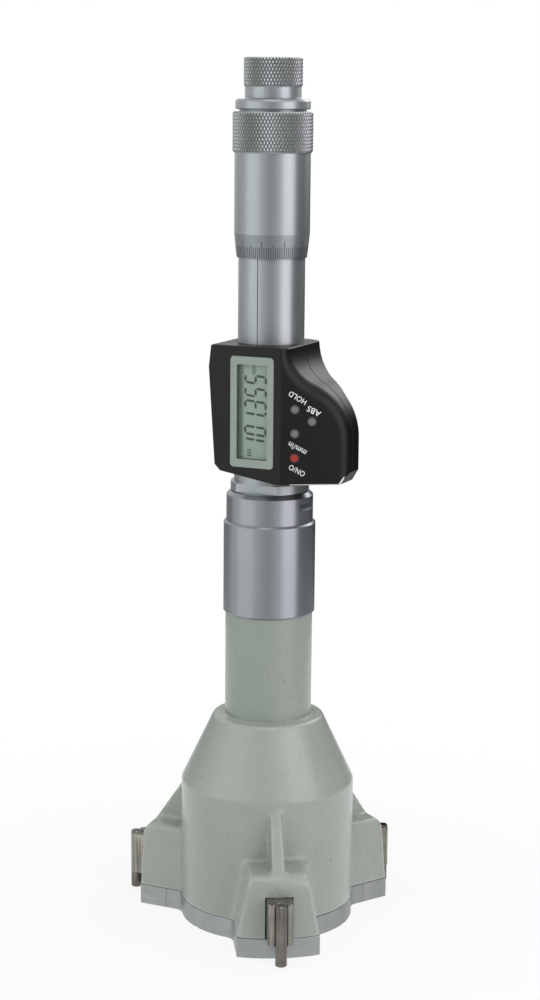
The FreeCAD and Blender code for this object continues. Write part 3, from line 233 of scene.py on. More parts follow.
def enamel(name, deep, pale):
    finish = Finish(name, specular_ior_level=0.5)
    cloud = finish.grain(12 * MM, 3.0)
    lumps = finish.grain(2.2 * MM, 3.0)
    fine = finish.grain(0.55 * MM, 2.0)
    speck = finish.step(finish.grain(0.8 * MM, 0.0), PIT_START, PIT_FULL)
    rim = finish.node("ShaderNodeAttribute", {"attribute_name": "rim"}, output="Fac")
    base = finish.mix(cloud, deep, pale)
    # Rims get a painted highlight and hollows a painted shade, from how strongly the surface bulges.
    base = finish.mix(finish.step(rim, 0.3, 1.2) * 0.25, base, RIM_PAINTED_HIGHLIGHT)
    base = finish.mix(finish.step(0 - rim, 0.25, 1.0) * 0.35, base, HOLLOW_PAINTED_SHADE)
    base = finish.mix(speck * 0.6, base, PIT_PAINT)
    finish.set(base_color=base, roughness=0.33 + lumps * 0.12 + speck * 0.2, coat_weight=0.6,
               coat_roughness=0.24)
    return finish.relief(lumps * 0.8 + fine * 0.3 - speck * 0.6, 0.3 * MM).material


# %% [markdown]
# Most of the frame is satin chrome on turned steel. The tool left rings too fine to see one by one, which
# smear a reflection up and down the cylinder and leave it sharp around it. The shader does that with
# anisotropy, turned by a quarter, and a faint relief of rings breaks the smear up.

# %% Turned and ground steel
def turned_steel(name, colour, roughness, ring=0.16, depth=0.004, stretch=0.75):
    finish = Finish(name, metallic=1.0, anisotropic=stretch, anisotropic_rotation=0.25)
    rings = finish.grain(ring * MM, 2.0, (0.02, 0.02, 1))
    smear = finish.grain(5 * MM, 2.0, (1, 1, 0.25))
    base = finish.mix(smear, tuple(c * 0.94 for c in colour), tuple(min(c * 1.05, 1) for c in colour))
    finish.set(base_color=base, roughness=roughness - 0.03 + rings * 0.06)
    return finish.relief(rings, depth * MM).material


def ground_steel(name, colour, roughness, turn=0.0, upright=False, contrast=0.12):
    """Steel from the surface grinder, with straight scratches."""
    finish = Finish(name, metallic=1.0)
    along = (1, 1, 0.02) if upright else (0.03, 1, 1)
    lines = finish.grain(0.3 * MM, 3.0, along, (0, 0, turn))
    cloud = finish.grain(6 * MM, 2.0)
    dark, bright = (tuple(min(c * (1 + side * contrast), 1) for c in colour) for side in (-1, 1))
    base = finish.mix(finish.step(lines * 0.7 + cloud * 0.3, 0.3, 0.7), dark, bright)
    finish.set(base_color=base, roughness=roughness - 0.06 + lines * 0.12)
    return finish.relief(lines, 0.012 * MM).material


def knurled_steel():
    """The same chrome over the knurl, with a painted shade that darkens the valleys."""
    finish = Finish("knurled_steel", metallic=1.0)
    valley_shade_grain = finish.grain(1.3 * MM, 2.0)
    valley = finish.node("ShaderNodeAttribute", {"attribute_name": "valley"}, output="Fac")
    # The valleys are painted dark, a painted shade, varied a little by a grain.
    base = finish.mix(valley * (0.75 + valley_shade_grain * 0.25), srgb(168, 172, 173), srgb(46, 49, 48))
    finish.set(base_color=base, roughness=0.3 + valley * 0.25)
    return finish.material


# %% [markdown]
# The housing is moulded in black plastic with a fine spark-eroded grain, and its display window sits in
# a printed border. The keys are soft rubber on a slanted face. The battery cover beneath them is black
# lacquered steel, bright along its cut edge.

# %% Plastics, rubber and print
SEAM_WIDTH = 0.26 * MM
FACE_TURN = math.radians(30)
CREASE = Vector((11.15, -16.5, 0)) * MM
along_face = Vector((math.cos(FACE_TURN), math.sin(FACE_TURN), 0))
out_of_face = Vector((math.sin(FACE_TURN), -math.cos(FACE_TURN), 0))
COVER_SKIN = 0.32 * MM
COVER_FADE = 0.15 * MM
COVER_END = Vector((2.2, 3.7)) * MM


def moulded(name, colour, roughness, size=0.28, depth=0.012, patch=0.06):
    finish = Finish(name)
    pebble = finish.grain(size * MM, 2.0)
    cloud = finish.grain(9 * MM, 2.0)
    base = finish.mix(cloud, tuple(c * 0.9 for c in colour), tuple(min(c * 1.12, 1) for c in colour))
    finish.set(base_color=base, roughness=roughness - patch / 2 + cloud * patch)
    return finish.relief(pebble, depth * MM).material


def housing_plastic(colour, seam_at):
    """The housing's plastic, with the dark joint between its two shells."""
    finish = Finish("black_plastic", specular_ior_level=0.23)
    pebble = finish.grain(0.3 * MM, 2.0)
    cloud = finish.grain(9 * MM, 2.0)
    depth = finish.split(finish.here())[1]
    away = finish.maths("ABSOLUTE", depth - seam_at)
    seam = 1 - finish.step(away, SEAM_WIDTH / 2, SEAM_WIDTH)
    base = finish.mix(cloud, tuple(c * 0.9 for c in colour), tuple(c * 1.12 for c in colour))
    finish.set(base_color=finish.mix(seam, base, srgb(6, 6, 6)), roughness=0.36 + cloud * 0.06 + seam * 0.4)
    return finish.relief(pebble * 0.08 - seam, 0.12 * MM).material


def edged_cover():
    """The battery cover: black lacquer, and bright along the cut edge under the key face."""
    finish = Finish("cover_steel", specular_ior_level=0.12)
    low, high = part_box("battery_cover")
    across, back, height = finish.split(finish.here())
    behind_face = (CREASE.x - across) * out_of_face.x + (CREASE.y - back) * out_of_face.y
    height = height - low.z
    past_bend = across - (high.x - COVER_END.x)
    along_end = COVER_END.normalized()
    inside = finish.maths("MINIMUM", height, height * along_end.x - past_bend * along_end.y)
    depth = finish.maths("MAXIMUM", inside, behind_face)
    lacquer = finish.step(depth, COVER_SKIN, COVER_SKIN + COVER_FADE)
    smear = finish.grain(2 * MM, 2.0)
    base = finish.mix(lacquer, srgb(214, 215, 212), srgb(20, 20, 20))
    finish.set(base_color=base, metallic=(1 - lacquer) * 0.5, roughness=0.36 + smear * 0.08)
    return finish.relief(finish.grain(0.3 * MM), 0.01 * MM).material


def key_rubber(name, colour, node):
    """A key's rubber, painted dark around its rim: a painted shade where it dips into its hole."""
    finish = Finish(name)
    low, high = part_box(node)
    ends = {0: finish.here(), 1: (low + high) / 2}
    away = finish.node("ShaderNodeVectorMath", {"operation": "DISTANCE"}, ends, "Value")
    reach = (high.z - low.z) / 2
    # The rim mask paints shade around the key's edge.
    rim = finish.step(away, reach * 0.9, reach * 1.08)
    cloud = finish.grain(2 * MM, 2.0)
    base = finish.mix(cloud, tuple(c * 0.88 for c in colour), tuple(c * 1.1 for c in colour))
    finish.set(base_color=finish.mix(rim, base, srgb(16, 16, 16)), roughness=0.55 + cloud * 0.1)
    return finish.relief(finish.grain(0.2 * MM, 2.0), 0.01 * MM).material


def display_border(colour):
    """The border's printed face, with a painted shade on the wall down to the panel."""
    finish = Finish("bezel_silver")
    depth = finish.split(finish.here())[1]
    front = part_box("display_bezel")[0].y
    # The wall down to the panel is painted dark, a painted shade.
    wall = finish.step(depth, front + 0.12 * MM, front + 0.22 * MM)
    cloud = finish.grain(7 * MM, 2.0)
    base = finish.mix(cloud, tuple(c * 0.92 for c in colour), tuple(c * 1.08 for c in colour))
    finish.set(base_color=finish.mix(wall, base, srgb(48, 62, 57)), roughness=0.4 + cloud * 0.06)
    return finish.relief(finish.grain(0.2 * MM, 2.0), 0.004 * MM).material


def window_glass():
    """A clear window. What the eye sees of it is a faint gloss over the panel."""
    finish = Finish("display_glass", base_color=(0.3, 0.34, 0.32, 1), roughness=0.06, alpha=0.06, ior=1.49)
    return finish.material


def crystal_panel():
    """The grey-green panel under the window. Its far edges are painted darker, a painted shade of the
    border, and each shade fades between two distances from an edge of the window."""
    finish = Finish("display_grey", roughness=0.35)
    low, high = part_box("display_window")
    across, _, height = finish.split(finish.here())
    side = 1 - finish.step(across, low.x + 0.9 * MM, low.x + 2.3 * MM)
    corner = 1 - finish.step(across, low.x + 1.0 * MM, low.x + 4.0 * MM)
    top = finish.step(height, high.z - 0.9 * MM, high.z - 0.4 * MM) * corner
    foot = 1 - finish.step(height, low.z - 0.1 * MM, low.z + 0.3 * MM)
    shade = finish.maths("MAXIMUM", finish.maths("MAXIMUM", side, top), foot)
    # The panel is painted a little lighter towards its top, a painted glow.
    glow = finish.step(height, low.z, high.z)
    panel = finish.mix(glow, srgb(138, 160, 147), srgb(144, 164, 149))
    return finish.set(base_color=finish.mix(shade * 0.92, panel, srgb(58, 76, 70))).material


# %% [markdown]
# Each slot of the record gets one finish, and each node of the frame takes the finish of its slot.

# %% Give every node its finish
finishes = {
    "painted_casting": enamel("painted_casting", srgb(141, 150, 141), srgb(153, 161, 153)),
    "neck_paint": enamel("neck_paint", srgb(130, 142, 131), srgb(142, 152, 143)),
    "satin_chrome": turned_steel("satin_chrome", srgb(151, 156, 158), 0.43),
    "scale_chrome": turned_steel("scale_chrome", srgb(134, 139, 142), 0.5),
    "coupling_chrome": turned_steel("coupling_chrome", srgb(140, 144, 149), 0.37),
    "cover_steel": edged_cover(),
    "knurled_steel": knurled_steel(),
    "ground_steel": ground_steel("ground_steel", srgb(153, 156, 157), 0.46, 0.6),
    "anvil_steel": ground_steel("anvil_steel", srgb(134, 131, 124), 0.24, upright=True, contrast=0.5),
    "carbide": ground_steel("carbide", srgb(112, 109, 103), 0.18, upright=True, contrast=0.4),
    "black_plastic": housing_plastic(srgb(10, 10, 10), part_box("rear_shell")[0].y),
    "bezel_silver": display_border(srgb(139, 150, 141)),
    "display_glass": window_glass(),
    "display_grey": crystal_panel(),
    "red_rubber": key_rubber("red_rubber", srgb(150, 36, 27), "power_button"),
    "screw_steel": turned_steel("screw_steel", srgb(150, 150, 152), 0.3, stretch=0.3),
    "spring_steel": turned_steel("spring_steel", srgb(150, 150, 154), 0.25, stretch=0.2),
    "bearing_bronze": turned_steel("bearing_bronze", srgb(190, 150, 96), 0.35, stretch=0.3),
    "board_green": moulded("board_green", srgb(34, 92, 58), 0.4, 0.6, 0.006),
    "cell_steel": turned_steel("cell_steel", srgb(190, 190, 188), 0.25, stretch=0.3),
    "contact_brass": ground_steel("contact_brass", srgb(204, 176, 108), 0.3),
}


def dress(piece, slot):
    """Replaces the piece's materials by the finish of this slot."""
    piece.data.materials.clear()
    piece.data.materials.append(finishes[slot])


OWN_FINISH = {"coupling_sleeve": "coupling_chrome", "coupling_ring": "coupling_chrome",
              "battery_cover": "cover_steel", "neck_tube": "neck_paint"}
for key in ("hold_button", "abs_button", "unit_button"):
    finishes[key] = key_rubber("grey_rubber_" + key, srgb(104, 107, 107), key)
    OWN_FINISH[key] = key
for row in frame["record"]["subparts"]:
    dress(frame["nodes"][row["node"]], OWN_FINISH.get(row["node"], row["material_slot"]))
print("finishes:", len(finishes))


# %% [markdown]
# The frame's head has sharp inner corners, because a casting's fillets are more a matter of sand than of
# drawing. On a copy of it the ribs are shaved thinner and the openings are filled. The copy is wrapped in
# a fine voxel skin, and then its hollow corners alone are let out, as plaster would be smoothed into a
# corner with a thumb. At the end the milled slots and the bores are cut again, sharp.

# %% Helpers for meshes
MERGE_DISTANCE = 1e-6
TURNED_MERGE_DISTANCE = 1e-7


def new_piece(name, mesh):
    piece = bpy.data.objects.new(name, mesh)
    bpy.context.scene.collection.objects.link(piece)
    return piece


def piece_of(shape, name):
    """A piece from a shape of bmesh, which is cleared away."""
    mesh = bpy.data.meshes.new(name)
    shape.to_mesh(mesh)
    shape.free()
    return new_piece(name, mesh)


def merged_copy(node, name):
    """A copy of a node of the frame with its loose triangles joined."""
    mesh = frame["nodes"][node].data.copy()
    shape = bmesh.new()
    shape.from_mesh(mesh)
    bmesh.ops.remove_doubles(shape, verts=shape.verts, dist=MERGE_DISTANCE)
    shape.to_mesh(mesh)
    shape.free()
    mesh.name = name
    return new_piece(name, mesh)


def block(name, low, high, turn=0.0):
    """A box between two corners, turned about the instrument's axis."""
    shape = bmesh.new()
    bmesh.ops.create_cube(shape, size=1.0)
    middle = (Vector(low) + Vector(high)) / 2
    size = Vector(high) - Vector(low)
    fit = Matrix.Rotation(turn, 4, "Z") @ Matrix.Translation(middle) @ Matrix.Diagonal((*size, 1))
    bmesh.ops.transform(shape, matrix=fit, verts=shape.verts)
    return piece_of(shape, name)


def wedge(name, turn):
    """A rib that is a little thicker at its foot, from the body's wall down to the top of a lug."""
    shape = bmesh.new()
    root = RIB_FOOT[1] - RIB_ROOT
    corners = [(*RIB_TOP, RIB_THIN / 2), (*RIB_FOOT, RIB_THICK / 2), (RIB_TOP[0], root, RIB_THICK / 2),
               (RIB_FOOT[0], root, RIB_THICK / 2)]
    for radius, height, half in corners:
        for side in (-half, half):
            shape.verts.new((radius, side, height))
    bmesh.ops.convex_hull(shape, input=shape.verts)
    bmesh.ops.recalc_face_normals(shape, faces=shape.faces)
    bmesh.ops.rotate(shape, verts=shape.verts, matrix=Matrix.Rotation(turn, 3, "Z"))
    return piece_of(shape, name)


def turned(name, outline, around=96):
    """A closed ring or a solid of revolution. The outline's points are (radius, height), upwards on the
    outside."""
    rows = len(outline)
    turns = np.linspace(0, 2 * math.pi, around, endpoint=False)
    points, faces = [], []
    for radius, height in outline:
        points.append(np.stack([radius * np.cos(turns), radius * np.sin(turns), np.full(around, height)], 1))
    for row in range(rows):
        after = (row + 1) % rows
        for step in range(around):
            on = (step + 1) % around
            faces.append((row * around + step, row * around + on, after * around + on, after * around + step))
    mesh = bpy.data.meshes.new(name)
    mesh.from_pydata(np.concatenate(points).tolist(), [], faces)
    shape = bmesh.new()
    shape.from_mesh(mesh)
    bmesh.ops.remove_doubles(shape, verts=shape.verts, dist=TURNED_MERGE_DISTANCE)
    bmesh.ops.dissolve_degenerate(shape, edges=shape.edges, dist=TURNED_MERGE_DISTANCE)
    bmesh.ops.recalc_face_normals(shape, faces=shape.faces)
    shape.to_mesh(mesh)
    shape.free()
    return new_piece(name, mesh)


def apply_all(piece):
    """Turns a piece's modifiers into its mesh."""
    bpy.context.view_layer.update()
    seen = piece.evaluated_get(bpy.context.evaluated_depsgraph_get())
    mesh = bpy.data.meshes.new_from_object(seen)
    piece.modifiers.clear()
    piece.data = mesh


def cut(piece, tools):
    """Cuts tools off a piece, one by one, and clears them away."""
    for tool in tools:
        change = piece.modifiers.new("cut", "BOOLEAN")
        change.operation = "DIFFERENCE"
        change.solver = "MANIFOLD"
        change.object = tool
        apply_all(piece)
        bpy.data.objects.remove(tool)


# %% [markdown]
# Ground and milled pieces never keep a knife edge: each one is broken with a stone. The frame leaves
# those edges sharp, so these nodes get a copy with narrow bevels, which catch the light and show the
# seams. The display's moulded border gets one as well.

# %% Break the edges of the plate, the covers, the anvils and the border
FLAT_ANGLE = math.radians(0.5)
BEVEL_ANGLE = math.radians(32)
CREASE_ANGLE = math.radians(24)
SLOT_OF = {row["node"]: row["material_slot"] for row in frame["record"]["subparts"]}


def broken_edges(node, width, body="root"):
    """Replaces a node by a copy of it with narrow bevels."""
    piece = merged_copy(node, node + "_eased")
    shape = bmesh.new()
    shape.from_mesh(piece.data)
    bmesh.ops.dissolve_limit(shape, angle_limit=FLAT_ANGLE, verts=shape.verts, edges=shape.edges)
    shape.to_mesh(piece.data)
    shape.free()
    bevel = piece.modifiers.new("bevel", "BEVEL")
    bevel.width = width
    bevel.segments = 2
    bevel.limit_method = "ANGLE"
    bevel.angle_limit = BEVEL_ANGLE
    apply_all(piece)
    piece.data.shade_smooth()
    piece.data.set_sharp_from_angle(angle=CREASE_ANGLE)
    dress(piece, SLOT_OF[node])
    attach(piece, body)
    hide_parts(node)


broken_edges("base_plate", 0.15 * MM)
for number in (1, 2, 3):
    broken_edges(f"guide_cover_{number}", 0.25 * MM)
    broken_edges(f"anvil_{number}", 0.3 * MM, f"anvil_{number}")
broken_edges("display_bezel", 0.2 * MM)

# %% [markdown]
# The return spring sits in the neck and holds the push rod up. The frame has it at its present length. A
# copy of it, with a mesh of its own, takes the place of the frame's node.

# %% Copy the return spring
spring = merged_copy("return_spring", "return_spring_coil")
dress(spring, "spring_steel")
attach(spring, "root")
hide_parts("return_spring")
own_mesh(spring)

# %% The filled copy of the head
HEAD_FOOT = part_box("head_casting")[0].z
NECK_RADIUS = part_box("neck_tube")[1].x
ANVIL_TURNS = [math.radians(turn) for turn in (-60, 60, 180)]
ANVIL_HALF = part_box("anvil_3")[1].y
PIN_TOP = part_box("contact_pin_3")[1].z
LUG_FACE = -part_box("guide_cover_3")[0].x
BODY_RADIUS = 28.24 * MM
CHAMBER = 24.0 * MM
ROOM = 0.1 * MM
VOXEL = 0.475 * MM
RIB_TOP = (26.1 * MM, 47.4 * MM)
RIB_FOOT = (40.14 * MM, 26.8 * MM)
RIB_THIN, RIB_THICK = 3.5 * MM, 4.1 * MM
RIB_SIDE = 1.8 * MM
RIB_ROOT = 1 * MM
BITE = 1 * MM
CHAMBER_FILL = (HEAD_FOOT, 20 * MM)
SOCKET_FILL = (60 * MM, 68.5 * MM)

head = merged_copy("head_casting", "head_shell")
shavings = []
for turn in ANVIL_TURNS:
    for side in (RIB_SIDE, -RIB_SIDE - BITE):
        inner = (BODY_RADIUS + ROOM, side, RIB_FOOT[1] + ROOM)
        outer = (RIB_FOOT[0] + BITE, side + BITE, RIB_TOP[1])
        shavings.append(block("side", inner, outer, turn))
cut(head, shavings)
inner = (CHAMBER / 2, -ANVIL_HALF - ROOM, HEAD_FOOT)
outer = (LUG_FACE - 2 * ROOM, ANVIL_HALF + ROOM, PIN_TOP + 2 * ROOM)
fillers = [block("filler", inner, outer, turn) for turn in ANVIL_TURNS]
fillers += [wedge("rib", turn) for turn in ANVIL_TURNS]
for radius, (foot, top) in ((CHAMBER, CHAMBER_FILL), (NECK_RADIUS, SOCKET_FILL)):
    fillers.append(turned("filler", [(0, foot), (radius + BITE, foot), (radius + BITE, top), (0, top)]))
shape = bmesh.new()
for part in [head, *fillers]:
    shape.from_mesh(part.data)
shape.to_mesh(head.data)
shape.free()
for part in fillers:
    bpy.data.objects.remove(part)
remesh = head.modifiers.new("remesh", "REMESH")
remesh.mode = "VOXEL"
remesh.voxel_size = VOXEL
apply_all(head)
print("head skin:", len(head.data.vertices), "points")


# %% Let out the hollows
class Skin:
    """A mesh's points and edges as arrays."""

    def __init__(self, mesh):
        self.mesh = mesh
        count = len(mesh.vertices)
        points = np.empty(count * 3)
        mesh.vertices.foreach_get("co", points)
        self.points = points.reshape(-1, 3)
        edges = np.empty(len(mesh.edges) * 2, np.int64)
        mesh.edges.foreach_get("vertices", edges)
        self.first, self.second = edges.reshape(-1, 2).T
        self.near = np.bincount(self.first, minlength=count) + np.bincount(self.second, minlength=count)

    def middle(self, values):
        """The mean of the neighbours' values at each point."""
        total = np.bincount(self.first, values[self.second], len(values))
        return (total + np.bincount(self.second, values[self.first], len(values))) / self.near

    def store(self):
        self.mesh.vertices.foreach_set("co", self.points.ravel())
        self.mesh.update()

    def pull(self):
        """The way from each point to its neighbours' middle, and how far outward that leads."""
        way = np.stack([self.middle(self.points[:, axis]) for axis in range(3)], 1) - self.points
        normals = np.empty(self.points.size, np.float32)
        self.mesh.vertices.foreach_get("normal", normals)
        return way, (way * normals.reshape(-1, 3)).sum(1)


def settle(mesh, rounds, convex, concave, low, high):
    """Moves each point towards its neighbours' middle: by one share where the surface bulges, by another
    where it is hollow, and not at all near the foot, which has to meet the plate."""
    skin = Skin(mesh)
    held = np.clip((skin.points[:, 2] - low) / (high - low), 0, 1)[:, None]
    for _ in range(rounds):
        skin.store()
        way, outward = skin.pull()
        share = np.where(outward > 0, concave, convex)[:, None]
        skin.points = skin.points + way * share * held
    skin.store()


SMOOTH_FROM, SMOOTH_FULL = HEAD_FOOT + 0.3 * MM, HEAD_FOOT + 1.5 * MM
FILLET_FROM, FILLET_FULL = HEAD_FOOT + 2 * MM, HEAD_FOOT + 6 * MM
settle(head.data, 3, 0.5, 0.5, SMOOTH_FROM, SMOOTH_FULL)
settle(head.data, 11, 0.0, 0.6, FILLET_FROM, FILLET_FULL)
settle(head.data, 2, 0.4, 0.4, SMOOTH_FROM, SMOOTH_FULL)

# %% Mark the rims
def mark_rims(mesh, reach):
    """Stores how strongly the surface bulges (above 0) or is hollow (below 0) at each point."""
    skin = Skin(mesh)
    bulge = -skin.pull()[1] / reach
    for _ in range(3):
        bulge = skin.middle(bulge)
    mesh.attributes.new("rim", "FLOAT", "POINT").data.foreach_set("value", bulge.astype(np.float32))
    print("rims from", round(float(bulge.min()), 2), "to", round(float(bulge.max()), 2))


RIM_REACH = 0.03 * MM
mark_rims(head.data, RIM_REACH)

# %% Cut the slots and bores again
CONE_ROOM = 20.1 * MM
HUB_ROOM = 7.6 * MM
SLOT_HALF = ANVIL_HALF + 0.35 * MM
CHAMBER_TOP = 38 * MM
CONE_FOOT = 46.4 * MM
CEILING = 58.6 * MM
TUBE_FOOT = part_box("neck_tube")[0].z
SOCKET_RADIUS = NECK_RADIUS + 0.02 * MM
SOCKET_TOP = 80 * MM
CAST_CREASE_ANGLE = math.radians(40)
inner, outer = (CHAMBER / 2, -SLOT_HALF, 0), (LUG_FACE * 1.1, SLOT_HALF, PIN_TOP + ROOM)
tools = [block("slot", inner, outer, turn) for turn in ANVIL_TURNS]
tools.append(turned("chamber", [(0, 0), (CHAMBER, 0), (CHAMBER, CHAMBER_TOP), (CONE_ROOM, CONE_FOOT),
                                (CONE_ROOM, CEILING), (HUB_ROOM, CEILING), (HUB_ROOM, TUBE_FOOT),
                                (SOCKET_RADIUS, TUBE_FOOT), (SOCKET_RADIUS, SOCKET_TOP),
                                (0, SOCKET_TOP)]))
cut(head, tools)
head.data.shade_smooth()
head.data.set_sharp_from_angle(angle=CAST_CREASE_ANGLE)
dress(head, "painted_casting")
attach(head, "root")
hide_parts("head_casting")
print("head triangles:", sum(len(face.vertices) - 2 for face in head.data.polygons))

# %% [markdown]
# A knurl is rolled into the steel as two crossing sets of grooves, which leave small pyramids. Geometry
# Nodes press them into any turned piece: the tree knows a point's angle and height, works out how deep
# both grooves are there, and moves the point towards the axis. It also stores the depth, so that the
# finish can paint shade into the valleys.

# %% The knurling tree
class Tree(Nodes):
    """A Geometry Nodes tree with named inputs."""

    def __init__(self, name, numbers):
        super().__init__(bpy.data.node_groups.new(name, "GeometryNodeTree"))
        self.tree.is_modifier = True
        new = self.tree.interface.new_socket
        new("Geometry", in_out="INPUT", socket_type="NodeSocketGeometry")
        for key in numbers:
            new(key, in_out="INPUT", socket_type="NodeSocketFloat")
        new("Material", in_out="INPUT", socket_type="NodeSocketMaterial")
        new("Geometry", in_out="OUTPUT", socket_type="NodeSocketGeometry")
        self.given = self.tree.nodes.new("NodeGroupInput")

    def value(self, name):
        return Wire(self, self.given.outputs[name])

    def finish(self, geometry):
        real = self.node("GeometryNodeRealizeInstances", None, {0: geometry})
        coat = {"Geometry": real, "Material": self.value("Material")}
        done = self.node("GeometryNodeSetMaterial", None, coat)
        end = self.tree.nodes.new("NodeGroupOutput")
        self.tree.links.new(done.socket, end.inputs[0])
        return self.tree


FLAT_SHARE = 0.85
BAND_MARGIN = 1.05
PHASE_SHIFT = 100


def knurl_tree():
    """Presses two crossing sets of grooves into a band of a turned piece."""
    tree = Tree("knurl", ["Radius", "Low", "High", "Bevel", "Depth", "Count", "Height"])
    maths = tree.maths
    x, y, z = tree.split(tree.node("GeometryNodeInputPosition"))
    radius = maths("SQRT", x * x + y * y)
    around = maths("ARCTAN2", y, x) / (2 * math.pi) * tree.value("Count")
    up = (z - tree.value("Low")) / tree.value("Height")

    def ridge(phase):
        """1 on the crest between two grooves, 0 in a groove. The shift only keeps the phase above 0."""
        return 1 - maths("ABSOLUTE", maths("FRACT", phase + PHASE_SHIFT) * 2 - 1)

    crest = maths("MINIMUM", ridge(around + up), ridge(around - up))
    crest = maths("MINIMUM", crest / FLAT_SHARE, 1.0)
    inside = maths("MINIMUM", z - tree.value("Low"), tree.value("High") - z) / tree.value("Bevel")
    inside = maths("MINIMUM", maths("MAXIMUM", inside, 0.0), 1.0)
    on_band = maths("GREATER_THAN", radius, tree.value("Radius") - tree.value("Bevel") * BAND_MARGIN)
    valley = (1 - crest) * inside * on_band
    shrink = 1 - valley * tree.value("Depth") / radius
    spot = tree.node("ShaderNodeCombineXYZ", None, {"X": x * shrink, "Y": y * shrink, "Z": z})
    stored = tree.node("GeometryNodeStoreNamedAttribute", {"data_type": "FLOAT", "domain": "POINT"},
                       {"Geometry": tree.value("Geometry"), "Name": "valley", "Value": valley})
    moved = tree.node("GeometryNodeSetPosition", None, {"Geometry": stored, "Position": spot})
    return tree.finish(moved)


def run_tree(piece, tree, **given):
    """Hands a tree its inputs by their sockets' identifiers, and bakes the result into the piece."""
    change = piece.modifiers.new(tree.name, "NODES")
    change.node_group = tree
    for item in tree.interface.items_tree:
        if item.item_type == "SOCKET" and item.in_out == "INPUT" and item.name in given:
            change[item.identifier] = given[item.name]
    apply_all(piece)


# %% [markdown]
# The thimble and the ratchet knob are turned again from their profiles, with the band finely divided, and
# then knurled. The profiles are the frame's own.

# %% The knurled thimble and knob
def divided(low, high, radius, bevel, steps):
    """The outside of a knurled band, from its lower bevel to its upper one."""
    heights = np.linspace(low + bevel, high - bevel, steps + 1)
    return [(radius - bevel, low), *((radius, height) for height in heights), (radius - bevel, high)]


STEPS = 8
KNURL_HEIGHT = 2.14 * MM
KNURL_DEPTH = 0.33 * MM
BAND_BEVEL = 0.45 * MM
THIMBLE_GROOVES = 74
KNOB_GROOVES = 54
knurl = knurl_tree()


def knurled(name, outline, band, radius, count, body, node, matt_below=0.0):
    """A turned piece with a knurl on its band, and a duller steel on its outside below a height."""
    piece = turned(name, outline, count * STEPS)
    run_tree(piece, knurl, Radius=radius, Low=band[0], High=band[1], Bevel=BAND_BEVEL, Depth=KNURL_DEPTH,
             Count=float(count), Height=KNURL_HEIGHT, Material=finishes["satin_chrome"])
    piece.data.materials.append(finishes["knurled_steel"])
    piece.data.materials.append(finishes["scale_chrome"])
    for face in piece.data.polygons:
        middle = face.center
        reach = math.hypot(middle.x, middle.y)
        if band[0] < middle.z < band[1] and reach > radius - 2 * BAND_BEVEL:
            face.material_index = 1
        elif middle.z < matt_below and reach > outline[0][0] + ROOM:
            face.material_index = 2
    piece.data.shade_smooth()
    piece.data.set_sharp_from_angle(angle=CREASE_ANGLE)
    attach(piece, body)
    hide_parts(node)
    print(name, "triangles:", sum(len(face.vertices) - 2 for face in piece.data.polygons))


THIMBLE_FOOT, THIMBLE_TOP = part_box("thimble")[0].z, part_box("thimble")[1].z
BAND_HEIGHT = 12.6 * MM
BAND_FOOT = THIMBLE_TOP - BAND_HEIGHT
BAND_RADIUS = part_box("thimble")[1].x
BARREL_RADIUS = 11.96 * MM
LIP_RADIUS = 11.11 * MM
THIMBLE_BORE = 10.85 * MM
SPINDLE_RADIUS = 5.0 * MM
BEVEL_TOP = THIMBLE_FOOT + 7.54 * MM
WEB_FOOT = THIMBLE_TOP - 4.3 * MM
band_rows = round((BAND_HEIGHT - 2 * BAND_BEVEL) / KNURL_HEIGHT * STEPS)
knurled(
    "knurled_thimble",
    [(THIMBLE_BORE, THIMBLE_FOOT), (LIP_RADIUS, THIMBLE_FOOT), (BARREL_RADIUS, BEVEL_TOP),
     (BARREL_RADIUS, BAND_FOOT), *divided(BAND_FOOT, THIMBLE_TOP, BAND_RADIUS, BAND_BEVEL, band_rows),
     (SPINDLE_RADIUS, THIMBLE_TOP), (SPINDLE_RADIUS, WEB_FOOT), (THIMBLE_BORE, WEB_FOOT)],
    (BAND_FOOT, THIMBLE_TOP), BAND_RADIUS, THIMBLE_GROOVES, "thimble", "thimble", BEVEL_TOP)

KNOB_FOOT, KNOB_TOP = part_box("ratchet_knob")[0].z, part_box("ratchet_knob")[1].z
KNOB_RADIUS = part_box("ratchet_knob")[1].x
KNOB_NECK = 8.85 * MM
KNURL_FOOT = KNOB_FOOT + 3.55 * MM
KNOB_HOLLOW = KNOB_NECK - 2.0 * MM
KNOB_ROOF = KNOB_TOP - 3.9 * MM
DISH = KNOB_TOP - 1.9 * MM
SCREW_SEAT = 3.38 * MM
SCREW_BORE = 2.18 * MM
knob_rows = round((KNOB_TOP - KNURL_FOOT - 2 * BAND_BEVEL) / KNURL_HEIGHT * STEPS)
knurled(
    "knurled_knob",
    [(KNOB_HOLLOW, KNOB_FOOT), (KNOB_NECK, KNOB_FOOT), (KNOB_NECK, KNURL_FOOT),
     *divided(KNURL_FOOT, KNOB_TOP, KNOB_RADIUS, BAND_BEVEL, knob_rows),
     (SCREW_SEAT, KNOB_TOP), (SCREW_SEAT, DISH), (SCREW_BORE, DISH), (SCREW_BORE, KNOB_ROOF),
     (KNOB_HOLLOW, KNOB_ROOF)],
    (KNURL_FOOT, KNOB_TOP), KNOB_RADIUS, KNOB_GROOVES, "knob", "ratchet_knob")

# %% [markdown]
# The thimble's bevel carries a hundred fine lines, engraved and filled black, and the sleeve carries one.
# Here each is a thin black strip on the steel. Geometry Nodes set a strip at each division: short, longer
# at each fifth and longest at each tenth.

# %% The scale
PRINT_DEPTH = 0.02 * MM
MARK_WIDTH = 0.2 * MM
SHORT_MARK, LONG_MARK = 3.6 * MM, 5.4 * MM
MARK_FOOT = 0.1 * MM
INDEX_HALF = 0.12 * MM
INDEX_END = 2 * MM
FIFTH_SHARE = 0.4
DIVISIONS = 100
FIRST_LONG_MARK = math.degrees(VIEW_TURN) - 90 + 20

